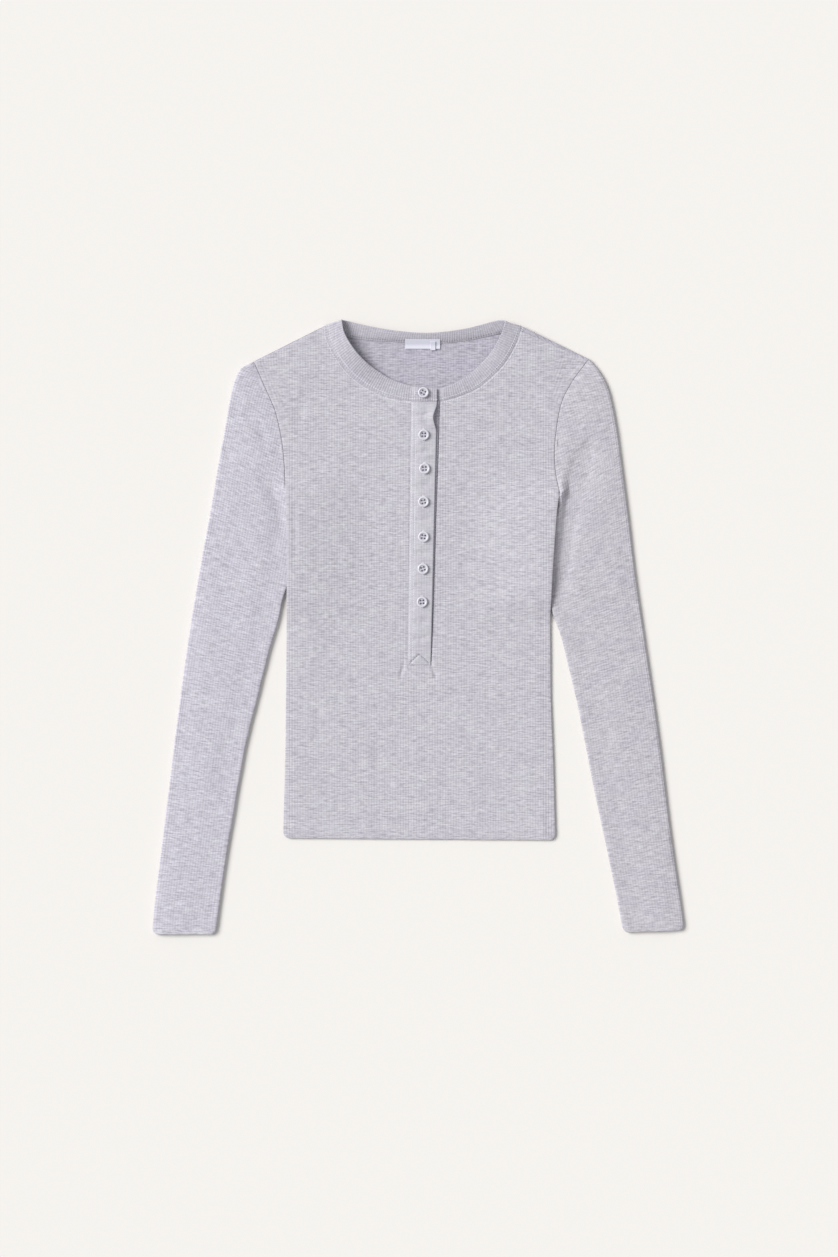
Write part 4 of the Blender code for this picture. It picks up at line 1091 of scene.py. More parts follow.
# ---------------------------------------------------------------------------------------------
# Sleeves
# ---------------------------------------------------------------------------------------------
@dataclass
class Sleeve:
    """One sleeve: a tube pressed flat, sewn to the armhole, its wales along its outer fold."""

    room: Workroom
    side: Side
    node: str
    creases: tuple[Crease, ...]
    under_creases: tuple[Crease, ...] = ()
    top_mid: float = 3.8
    puff: float = 0.8
    least_tall: float = 1.3  # the upper layer stays this far above the lower one in a valley
    cap: float = 108.0  # outer edge from the shoulder to beside the underarm
    close: float = 12.5  # length over which the tube closes below the underarm
    tuck: float = 3.4  # how far it goes under the body's edge just below the underarm
    wale: float = 2.8
    rib_depth: float = 0.2
    widest: float = 92.0
    cuff_corner: float = 6.0
    cuff_deep: float = 14.0
    cuff_rise: float = 0.16
    ditch: tuple[float, float] = (0.35, 1.0)  # depth and reach along the armhole seam
    row_step: float = 6.0
    arm_rows: int = 27
    blend_over: float = 16.0  # length over which it meets the panels' heights at the armhole
    puff_over: float = 20.0
    tuck_over: tuple[float, float, float] = (6.0, 22.0, 22.0)  # full from, down from and over
    ripple: Ripple = Ripple(0.28, 38.0, 120.0, 11)

    def stations(self) -> list[tuple[Array, Array, float, float, float]]:
        """Rows down the sleeve: inner point, outer point, joined, drawn in, length from the cuff."""
        pattern = self.room.pattern
        arm = smooth(pattern.armhole[self.side])[::-1]
        outer = smooth(pattern.sleeve_outer[self.side])
        inner = smooth(pattern.sleeve_inner[self.side])
        long_in, long_out = run_of(inner)[-1], run_of(outer)[-1]
        share = self.cap / long_out
        found = []
        for part in np.linspace(0.0, 1.0, self.arm_rows):
            found.append((at_parts(arm, [part])[0], at_parts(outer, [share * part])[0], 1.0, 0.0, FAR))
        cuff = [19.0, 17.0, 15.4, 14.6, 13.8, 13.0, 11.0, 8.0, 5.5, *ROLL[::-1]]
        for length in np.arange(1.5, long_in - 21.0, self.row_step):
            part = length / long_in
            joined = 1.0 - float(ease(length / self.close))
            near, far = at_parts(inner, [part])[0], at_parts(outer, [lerp(share, 1.0, part)])[0]
            up, full, down = self.tuck_over
            tuck = self.tuck * float(ease(length / up) * (1.0 - ease((length - full) / down)))
            near = near - (far - near) / np.linalg.norm(far - near) * tuck
            found.append((near, far, min(joined, 0.999), 0.0, long_in - length))
        for step in cuff:
            r = self.cuff_corner
            drawn = r - math.sqrt(r * r - (r - step) ** 2) if step < r else 0.0
            found.append((at_parts(inner, [1.0 - step / long_in])[0],
                          at_parts(outer, [1.0 - step / long_out])[0], 0.0, drawn, step))
        return found

    def section(self, inner: Array, outer: Array, joined: float, drawn: float, from_cuff: float
                ) -> tuple[Array, Array, Array]:
        """Points round the sleeve at one row.

        Args:
            inner: plan point on the armhole seam or the inner fold.
            outer: plan point on the outer fold.
            joined: 1 on the armhole seam, falling to 0 where the tube is its own.
            drawn: how far the cuff's corners have drawn in.
            from_cuff: length to the cuff.

        Returns:
            Points, distance across the wales from the outer fold, distance from the seam.
        """
        lay = self.room.lay
        sewn = joined >= 1.0
        across = (outer - inner) / np.linalg.norm(outer - inner)
        a = inner + across * (drawn + (SEAM_GAP / 2 if sewn else lay.cloth / 2))
        b = outer - across * (drawn + lay.cloth / 2)
        width = float(np.linalg.norm(b - a))
        bend = min(1.6, 0.25 * width)
        rim = np.array(ROLL) * min(1.0, 0.3 * width / ROLL[-1])
        main = np.clip(np.arange(0.0, self.widest, self.wale / 4.0), bend, max(width - rim[-1], bend))
        turn = np.radians(np.linspace(90.0, -90.0, 11))
        seam_top = float(lay.seam_front(*inner))
        lift = lay.side_lift(inner[:1], inner[1:2], lay.back_ramp, lay.back_flat)
        seam_low = float(lay.back_mid + lift[0])
        cuff = self.cuff_rise * (1.0 - float(ease((from_cuff - self.cuff_deep + 0.8) / 1.6)))

        def heights(d: Array) -> tuple[Array, Array]:
            """Upper and lower layer at a distance from the inner edge."""
            lift = ease((d - self.blend_over) / self.puff_over) * ease((width - d) / self.puff_over)
            blend = joined * (1.0 - ease(d / self.blend_over))
            up = lerp(self.top_mid + self.puff * lift + cuff, seam_top, blend)
            return up, lerp(lay.back_mid, seam_low, blend)

        def at(d: Array) -> Array:
            """Plan points at distances from the inner edge."""
            return a[None] + across[None] * d[:, None]

        d_main = width - main
        upper_rim, lower_rim = heights(rim)
        upper, lower = heights(d_main)
        far_up, far_low = (float(v[0]) for v in heights(np.array([width - bend])))
        if sewn:
            z_rim_up = upper_rim - self.ditch[0] * np.exp(-((rim / self.ditch[1]) ** 2))
            z_rim_low, d_rim = lower_rim, rim
        else:
            half = np.radians(np.linspace(0.0, 90.0, len(rim)))
            up0, low0 = (float(v[0]) for v in heights(np.array([bend])))
            middle, tall = (up0 + low0) / 2, (up0 - low0) / 2
            d_rim = np.concatenate([(1.0 - np.cos(half[:-1])) * bend, rim[-1:]])
            z_rim_up, z_rim_low = middle + tall * np.sin(half), middle - tall * np.sin(half)
        fold_d = width - bend + bend * np.cos(turn)
        fold_z = (far_up + far_low) / 2 + (far_up - far_low) / 2 * np.sin(turn)
        d = np.concatenate([d_rim, d_main[::-1], fold_d, d_main, d_rim[::-1]])
        z = np.concatenate([z_rim_up, upper[::-1], fold_z, lower, z_rim_low[::-1]])
        plan = at(d)
        count = len(d_rim) + len(d_main)
        top = np.zeros(len(d))
        top[:count] = ease(d[:count] / 5.0) * ease((width - d[:count]) / 5.0)
        rise = sum(crease.height(plan[:, 0], plan[:, 1]) for crease in self.creases)
        rise = rise + self.ripple.at(plan[:, 0], plan[:, 1])
        z = z + top * rise
        under = np.zeros(len(d))
        under[count + len(turn):] = ease((width - d[count + len(turn):]) / 6.0) * ease(
            d[count + len(turn):] / 6.0)
        low = sum((crease.height(plan[:, 0], plan[:, 1]) for crease in self.under_creases), np.zeros(len(d)))
        z = np.where(top > 0, np.maximum(z, lower[0] + self.least_tall), z) + under * low
        q = width - d
        q[count:count + len(turn)] = np.linspace(bend, -bend, len(turn)) * 0.8
        q[count + len(turn):] *= -1.0
        seam = d if sewn else np.full(len(d), FAR)
        return np.column_stack([plan, z]), q, seam

    def build(self) -> None:
        """Make the sleeve."""
        rows, plans, thick, show = [], [], [], []
        stations = self.stations()
        outer = np.array([station[1] for station in stations])
        down = run_of(outer)
        for (inner, out, joined, drawn, cuff), v in zip(stations, down):
            points, q, seam = self.section(inner, out, joined, drawn, cuff)
            rows.append(points)
            plans.append(np.column_stack([q, np.full(len(q), -v)]))
            one_thick, one_show = rounded(np.minimum(seam, cuff), 0.9)
            thick.append(one_thick)
            show.append(one_show)
        # painted light and shade: the left sleeve takes a paler copy of the jersey and the right one a
        # darker copy, for the light from the left
        self.room.sew(
            Cloth(self.node, np.array(rows), np.array(plans), np.array(thick), np.array(show),
                  self.room.lay.cloth),
            "left sleeve, painted light" if self.side is Side.LEFT else "right sleeve, painted shade", "rib_jersey", self.wale,
            self.rib_depth)


# ---------------------------------------------------------------------------------------------
# Neckband
# ---------------------------------------------------------------------------------------------
@dataclass
class Neckband:
    """A doubled rib band round the neck, its wales across it, lapped at the placket."""

    room: Workroom
    wale: float = 2.5  # coarser than the rib's own 1.8 mm, so that it shows
    rib_depth: float = 0.36
    wall: float = 1.8
    tilt: tuple[float, float] = (2.6, 0.8)
    crown: float = 0.7
    lap_rise: float = 1.8
    across: tuple[float, ...] = (-0.02, -0.008, 0.012, 0.04, 0.08, 0.12, 0.17, 0.25, 0.37, 0.5, 0.63,
                                 0.76, 0.86, 0.93, 0.97, 0.99, 1.0)
    stand: dict[Side, tuple[float, ...]] = pair(
        (0.3, 0.28, 8.5),
        (0.42, 0.3, -1.5))  # where it stands up, reach, rise
    end_sink: float = 1.3  # how far the under end lies below the front panel's own height
    sink_to: float = 23.6  # x where it starts to come up, over the next length
    sink_over: float = 3.4
    stitch_from: float = 24.0  # x where the stitches come out from under the top end
    inner_row: float = 0.155  # parts of the band's width where its stitches run
    back_row: float = 0.13
    outer_row: float = 2.1  # distance from the seam of the row on the front panel
    seam_ditch: tuple[float, float] = (0.6, 1.2)
    stitch_ditch: tuple[float, float, float] = (0.2, 2.4, 0.7)  # depth, place and reach
    flatter: float = 0.45  # how much less it leans behind the neck than the solid does
    under_end: Table = ((-3.0, 239.4, 254.8), (6.0, 239.3, 254.0), (15.0, 239.2, 253.2))
    top_end: Table = ((-3.6, 239.2, 254.5, 0.62), (-0.6, 239.2, 254.1, 1.0), (9.5, 238.8, 253.0, 1.0),
                      (19.9, 238.4, 252.3, 1.0))

    def sections(self) -> Array:
        """Sections from the under end round the neck to the top end: seam, edge, crown, lap."""
        pattern, lay = self.room.pattern, self.room.lay
        found: list[tuple[float, ...]] = []

        def front(side: Side) -> list[tuple[float, ...]]:
            """Sections from a neck corner to the placket."""
            parts = np.linspace(0.0, 1.0, 29)
            seams = at_parts(smooth(pattern.neck[side]), parts)
            edges = at_parts(smooth(pattern.band_edge[side]), parts)
            rows = []
            for part, seam, edge in zip(parts, seams, edges):
                z = float(lay.seam_front(*seam))
                tilt = lerp(self.tilt[0], self.tilt[1], float(ease(2.0 * part)))
                at, reach, rise = self.stand[side]
                tilt += rise * math.exp(-(((part - at) / reach) ** 2))
                if side is Side.RIGHT:
                    z -= self.end_sink * (1.0 - float(ease((seam[0] - self.sink_to) / self.sink_over)))
                rows.append((*seam, z, *edge, z + tilt, self.crown * float(ease(part * 3.5)), 0.0))
            return rows

        for x, seam_y, edge_y in self.under_end:
            z = float(lay.seam_front(x, seam_y)) - self.end_sink
            found.append((x, seam_y, z, x, edge_y, z + self.tilt[1], self.crown, 0.0))
        found += front(Side.RIGHT)[::-1]
        back = smooth([(*row, 0.0) for row in pattern.back_band], 8)
        across = ease((back[:, 0] + 96.0) / 24.0) * ease((107.0 - back[:, 0]) / 24.0)
        back[:, 5] = back[:, 2] + (back[:, 5] - back[:, 2]) * (1.0 - self.flatter * across)
        found += [tuple(row) for row in back[::-1]]
        found += front(Side.LEFT)
        for x, seam_y, edge_y, lap in self.top_end:
            z = float(lay.seam_front(x, seam_y)) + lap * self.lap_rise
            found.append((x, seam_y, z, x, edge_y, z + self.tilt[1], self.crown, lap))
        return np.array(found)

    def even_sections(self) -> tuple[Array, Array]:
        """The same, evenly spaced four to a wale, with their lengths along the band's middle."""
        rows = self.sections()
        middle = np.column_stack([(rows[:, :3] + rows[:, 3:6]) / 2, rows])
        run = run_of(middle, 3)
        length = run[-1]
        count = int(length / (self.wale / 4.0))
        roll = [0.0, 0.15, 0.45, 0.9]
        stops = np.unique(np.concatenate([np.linspace(0.0, length, count), roll, length - np.array(roll)]))
        even = at_lengths(middle, stops, 3)[:, 3:]
        kernel = np.ones(5) / 5.0
        for column in (2, 5, 6):
            padded = np.pad(even[:, column], 2, mode="edge")
            even[:, column] = np.convolve(padded, kernel, "valid")
        return even, stops

    def point(self, rows: Array, w: float) -> Array:
        """Middle of the band at w, 0 at the seam and 1 at the free edge."""
        points = lerp(rows[:, :3], rows[:, 3:6], w)
        points[:, 2] += rows[:, 6] * 4.0 * w * (1.0 - w)
        return points

    def build(self) -> None:
        """Make the band, its cover stitches and the row along the back of the neck."""
        rows, stops = self.even_sections()
        room = self.room
        points = np.stack([self.point(rows, w) for w in self.across], axis=1)
        wide = np.linalg.norm(rows[:, 3:6] - rows[:, :3], axis=1)[:, None]
        w = np.array(self.across)[None]
        from_seam, from_edge = (w - self.across[0]) * wide, (1.0 - w) * wide
        ends = np.minimum(stops, stops[-1] - stops)[:, None]
        edge = np.minimum(from_edge, ends)
        thick, show = rounded(edge, 1.1)
        sewn, _ = rounded(from_seam, 1.0, 0.7)
        thick, show = np.minimum(thick, sewn), np.minimum(show, ease(from_seam / 2.0))
        points[..., 2] -= self.seam_ditch[0] * np.exp(-((from_seam / self.seam_ditch[1]) ** 2))
        depth, at, reach = self.stitch_ditch
        points[..., 2] -= depth * np.exp(-(((from_seam - at) / reach) ** 2))
        uv = np.stack([np.broadcast_to(stops[:, None], points.shape[:2]),
                       np.broadcast_to(w * 16.0, points.shape[:2])], axis=-1)
        room.sew(Cloth("neckband", points, uv, thick, show, self.wall), "band", "rib_band", self.wale,
                 self.rib_depth, ["front_panel_cloth", "back_panel_cloth"])
        self.sew_seams(rows)

    def sew_seams(self, rows: Array) -> None:
        """Two rows of cover stitch astride the front seam, and one inside the back of the neck."""
        room, lay, pattern = self.room, self.room.lay, self.room.pattern
        inside = self.point(rows, self.inner_row)
        inside[:, 2] += self.wall / 2 - 0.22
        start_r, start_l = (
            int(np.argmin(np.hypot(rows[:, 0] - corner[0], rows[:, 1] - corner[1])))
            for corner in (pattern.neck[Side.RIGHT][0], pattern.neck[Side.LEFT][0]))
        visible = int(np.argmin(np.abs(rows[:start_r, 0] - self.stitch_from)))
        on_band = [inside[visible:start_r - 2], inside[start_l + 2:len(rows) - 3]]
        room.stitch("neckband_cover_stitch_inner", on_band, "rib_band", 2.6, 2.5, 0.62)
        on_body = []
        for side, turn in ((Side.LEFT, -1.0), (Side.RIGHT, 1.0)):
            seam = smooth(pattern.neck[side])
            out = beside(seam, turn * self.outer_row)
            out = at_parts(out, np.linspace(0.015, 0.985, 160))
            z = lay.front(out[:, 0], out[:, 1]) + lay.cloth / 2 - 0.05
            on_body.append(np.column_stack([out, z]))
        room.stitch("neckband_cover_stitch_outer", on_body, "rib_jersey", 2.6, 2.5, 0.62)
        behind = self.point(rows[start_r + 8:start_l - 8], self.back_row)
        behind[:, 2] += self.wall / 2 - 0.05
        room.stitch("neckband_back_stitch", behind, "rib_band", 2.0, 2.8, 0.45, 0.0, "dark thread")


# ---------------------------------------------------------------------------------------------
# Placket
# ---------------------------------------------------------------------------------------------
@dataclass
class Placket:
    """The top strip that laps the under strip, with its rows of stitches and buttonholes."""

    room: Workroom
    wall: float = 1.8
    under_wall: float = 1.6
    lap_rise: float = 2.1
    lap_before: float = 3.0  # the strip starts to rise this far before the slit
    lap_bend: float = 15.0
    lap_foot: float = 48.0
    foot_rise: float = 0.25  # part of the lap's rise that is left at the foot
    edge_top: float = 19.9
    edge_foot: float = 13.2
    gape: tuple[float, float, float] = (222.0, 16.0, 3.5)  # y, half length and depth of its gape
    gape_ease: tuple[float, float, float] = (8.0, 9.0, 4.0)  # x it starts at and over, y beyond its ends
    gape_rise: float = 2.6
    gape_sink: float = 1.5
    # distance from the slit, depth and reach of the seam's ditch and the two rows of stitches
    rows: Table = ((0.0, 0.3, 1.0), (1.6, 0.2, 0.8), (5.2, 0.25, 0.8))
    under_start: float = 15.0
    head_drop: float = 0.9
    wale: float = 2.8
    rib_depth: float = 0.12
    rumple: float = 3.6  # the strip's creases are this much deeper than the heights given below
    # paths of the stitched arrow at the strip's foot, and the depth and reach of its trough
    foot_lines: tuple[Table, ...] = (((-8.6, -38.2), (-4.0, -33.6), (0.2, -29.6)),
                                     ((1.6, -29.6), (6.0, -33.0), (11.4, -38.0)))
    foot_trough: tuple[float, float] = (1.1, 1.3)
    # half length and half width of the upright buttonholes and of the level one on the neckband
    buttonhole: tuple[float, float] = (6.6, 0.85)
    band_hole: tuple[float, float] = (7.6, 0.85)
    band_hole_left: float = 1.4
    band_hole_up: float = 4.05
    creases: tuple[Crease, ...] = (
        Crease([(-6.0, 226.0), (4.0, 224.0), (16.0, 227.0)], 2.6, -0.4),
        Crease([(-4.0, 219.5), (6.0, 221.0), (17.0, 218.5)], 2.0, 0.3),
        Crease([(-7.0, 188.0), (2.0, 184.5), (16.0, 187.0)], 2.8, -0.45),
        Crease([(-6.0, 180.5), (6.0, 182.0), (15.0, 179.0)], 2.0, 0.3),
        Crease([(-7.0, 151.0), (4.0, 149.0), (15.5, 152.0)], 2.8, -0.4),
        Crease([(-7.0, 116.0), (4.0, 113.0), (15.0, 115.0)], 2.6, -0.35),
        Crease([(-7.0, 81.0), (4.0, 78.0), (15.0, 79.5)], 2.8, -0.4),
        Crease([(-8.0, 46.0), (3.0, 43.5), (14.0, 45.0)], 2.6, -0.35),
        Crease([(-8.0, 9.0), (2.0, 5.0), (13.0, 7.0)], 3.0, -0.4),
        Crease([(-8.0, -8.0), (0.0, -13.0), (12.0, -10.0)], 3.0, -0.4),
    )

    def edge(self, y: Array) -> Array:
        """Free edge of the top strip, with its gape below the neckband."""
        pattern = self.room.pattern
        part = (y - pattern.slit_foot_y) / (pattern.neck_y - pattern.slit_foot_y)
        at, reach, depth = self.gape
        return lerp(self.edge_foot, self.edge_top, part) - depth * ease(1.0 - np.abs(y - at) / reach)

    def top(self, x: Array, y: Array) -> Array:
        """Middle of the top strip."""
        pattern = self.room.pattern
        away = x - pattern.slit(0, y)
        foot = lerp(self.foot_rise, 1.0, ease((y - pattern.slit_foot_y) / self.lap_foot))
        lap = self.lap_rise * ease((away + self.lap_before) / self.lap_bend) * foot
        z = self.room.lay.seam_front(x, y) + lap
        z = z + self.gape_rise * self.opened(x, y)
        return z + self.rumple * sum(crease.height(x, y) for crease in self.creases)

    def under(self, x: Array, y: Array) -> Array:
        """Middle of the under strip, sunk below the gape and at the neckband's under end."""
        return self.room.lay.seam_front(x, y) - self.gape_sink * self.opened(x, y)

    def opened(self, x: Array, y: Array) -> Array:
        """How far the strips stand apart at the gape, 0 to 1."""
        at, reach, _ = self.gape
        start, over, beyond = self.gape_ease
        return ease((x - start) / over) * ease(1.0 - np.abs(y - at) / (reach + beyond))

    def strip(self, name: str, ys: Array, left: Array, right: Array, drop: Array,
              height: Callable[[Array, Array], Array], wall: float, cells: int,
              finish: str = "placket") -> None:
        """Make one strip between two edges.

        Args:
            name: the solid it stands for.
            ys: its rows.
            left: x of its left edge on each row.
            right: x of its right edge on each row.
            drop: how much lower each row is at the right edge.
            height: its middle as a function of x and y.
            wall: its thickness.
            cells: columns between its rolled edges.
            finish: name of its finish.
        """
        roll = np.array(ROLL)
        main = np.linspace(0.0, 1.0, cells)[None]
        x = np.concatenate([left[:, None] + roll[:-1][None],
                            lerp(left[:, None] + roll[-1], right[:, None] - roll[-1], main),
                            right[:, None] - roll[::-1][None, 1:]], axis=1)
        part = (x - left[:, None]) / (right - left)[:, None]
        y = ys[:, None] - drop[:, None] * part
        edge = np.minimum(x - left[:, None], right[:, None] - x)
        ends = np.minimum(ys - ys[0], ys[-1] - ys)[:, None]
        z = height(x, y)
        thick, show = rounded(np.minimum(edge, ends), 1.0)
        self.room.sew(Cloth(name, np.stack([x, y, z], -1), np.stack([x, y], -1), thick, show, wall),
                      finish, "placket_jersey", self.wale, self.rib_depth, ["front_panel_cloth"])

    def build(self, buttons: Table) -> None:
        """Make both strips, their stitches, the foot's stitches and the buttonholes."""
        room, pattern = self.room, self.room.pattern
        roll = np.array(ROLL)
        low, high = pattern.slit_foot_y + 13.0, pattern.neck_y - SEAM_GAP
        ys = np.concatenate([low + roll, np.linspace(low + 5.0, high - 5.0, 80), high - roll[::-1]])
        # the under strip takes the same darker copy, painted shade for the placket's gape
        self.strip("placket_under", ys, pattern.slit(0, ys) + self.under_start,
                   pattern.slit(1, ys) - SEAM_GAP, np.zeros(len(ys)), self.under,
                   self.under_wall, 30, "inside")
        low = pattern.slit_foot_y - SEAM_GAP
        ys = np.concatenate([low + roll, np.linspace(low + 3.9, low + 17.0, 26),
                             np.linspace(low + 19.0, high - 5.0, 122), high - roll[::-1]])

        def laid(x: Array, y: Array) -> Array:
            """The strip's middle, sunk a little along its seam and its rows of stitches."""
            away = x - pattern.slit(0, y)
            sunk = sum(depth * np.exp(-(((away - at) / reach) ** 2)) for at, depth, reach in self.rows)
            return self.top(x, y) - sunk - self.foot_sink(x, y)

        drop = self.head_drop * ease((ys - pattern.neck_y + 30.0) / 30.0)
        self.strip("placket_top", ys, pattern.slit(0, ys) - 0.3, self.edge(ys), drop, laid,
                   self.wall, 46)
        self.sew_rows(laid, buttons)

    def foot_sink(self, x: Array, y: Array) -> Array:
        """Trough along the foot's stitches."""
        total = np.zeros(np.shape(x))
        depth, reach = self.foot_trough
        for line in self.foot_lines:
            away, _ = to_path(x, y, np.asarray(line))
            total = total + depth * np.exp(-((away / reach) ** 2))
        return total

    def sew_rows(self, laid: Callable[[Array, Array], Array], buttons: Table) -> None:
        """Sew the rows of stitches and the buttonholes.

        Args:
            laid: middle of the top strip.
            buttons: x, y and turn of each button.
        """
        room, pattern = self.room, self.room.pattern
        ys = np.linspace(pattern.slit_foot_y + 2.0, pattern.neck_y - 2.5, 140)
        rows = []
        for away, _, _ in self.rows[1:]:
            x = pattern.slit(0, ys) + away
            rows.append(np.column_stack([x, ys, laid(x, ys) + self.wall / 2 + 0.02]))
        room.stitch("placket_top_stitch", rows, "placket_jersey", 2.6, 2.5, 0.75)
        arrow = []
        for line in self.foot_lines:
            plan = at_parts(smooth(line), np.linspace(0.0, 1.0, 30))
            arrow.append(np.column_stack([plan, laid(plan[:, 0], plan[:, 1]) + self.wall / 2 + 0.05]))
        # painted shade: the arrow's real stitches are sewn in the dark thread, which paints the shade along
        # the edges of its troughs
        room.stitch("placket_foot_stitch", arrow, "placket_jersey", 1.9, 2.1, 0.6, 0.0, "dark thread")
        x = pattern.slit(1, ys) + 1.5
        edge = np.column_stack([x, ys, room.lay.front(x, ys) + room.lay.cloth / 2 - 0.1])
        room.stitch("placket_right_stitch", edge[18:], "rib_jersey", 2.2, 3.0, 0.42)
        bars = []
        for number, (x, y, _) in enumerate(buttons):
            on_band = number == 0
            turn = 0.0 if on_band else math.pi / 2
            long, wide = self.band_hole if on_band else self.buttonhole
            angle = np.linspace(0.0, math.tau, 60)
            u = np.clip(np.cos(angle) * long * 1.25, -long, long)
            v = np.where(np.sin(angle) >= 0, wide, -wide) * np.minimum(1.0, np.abs(np.sin(angle)) * 4.0)
            px = x + u * math.cos(turn) - v * math.sin(turn) - (self.band_hole_left if on_band else 0.0)
            py = y + u * math.sin(turn) + v * math.cos(turn)
            if on_band:
                z = np.full(60, float(room.lay.seam_front(x, pattern.neck_y)) + self.band_hole_up)
            else:
                z = laid(px, py) + self.wall / 2
            bars.append(np.column_stack([px, py, z]))
        room.stitch("buttonhole_stitch", bars, "placket_jersey", 1.5, 0.55, 0.42, math.pi / 2)


# ---------------------------------------------------------------------------------------------
# Tags
# ---------------------------------------------------------------------------------------------
@dataclass
class Tag:
    """A woven tag, bent over the band at its head, its face bare."""

    room: Workroom
    node: str
    sides: tuple[float, float]
    profile: Table  # y and z down its middle
    wall: float = 0.6
    roll: tuple[float, ...] = (0.0, 0.12, 0.35, 0.8)
    curl: float = 0.25  # rise of its sides at the head

    def build(self, goes_with: Sequence[bpy.types.Object] = ()) -> bpy.types.Object:
        """Make the tag."""
        line = at_parts(smooth(self.profile), np.linspace(0.0, 1.0, 40))
        roll = np.array(self.roll)
        left, right = self.sides
        xs = np.concatenate([left + roll, np.linspace(left + 1.5, right - 1.5, 34), right - roll[::-1]])
        x = np.broadcast_to(xs[None], (len(line), len(xs)))
        curl = self.curl * ((xs - (left + right) / 2) / (right - left) * 2.0) ** 4
        y = np.broadcast_to(line[:, :1], x.shape)
        z = line[:, 1:2] + curl[None] * np.linspace(1.0, 0.0, len(line))[:, None]
        run = run_of(line)
        ends = np.minimum(run, run[-1] - run)[:, None]
        edge = np.minimum(np.minimum(x - left, right - x), ends)
        thick, _ = rounded(edge, 0.35)
        plan = np.stack([x, np.broadcast_to(run[:, None], x.shape)], -1)
        cloth = Cloth(self.node, np.stack([x, y, z], -1), plan, thick, np.zeros(x.shape), self.wall)
        return self.room.sew(cloth, "satin", "label_satin", 0.0, 0.0, ["back_panel_cloth"], goes_with)


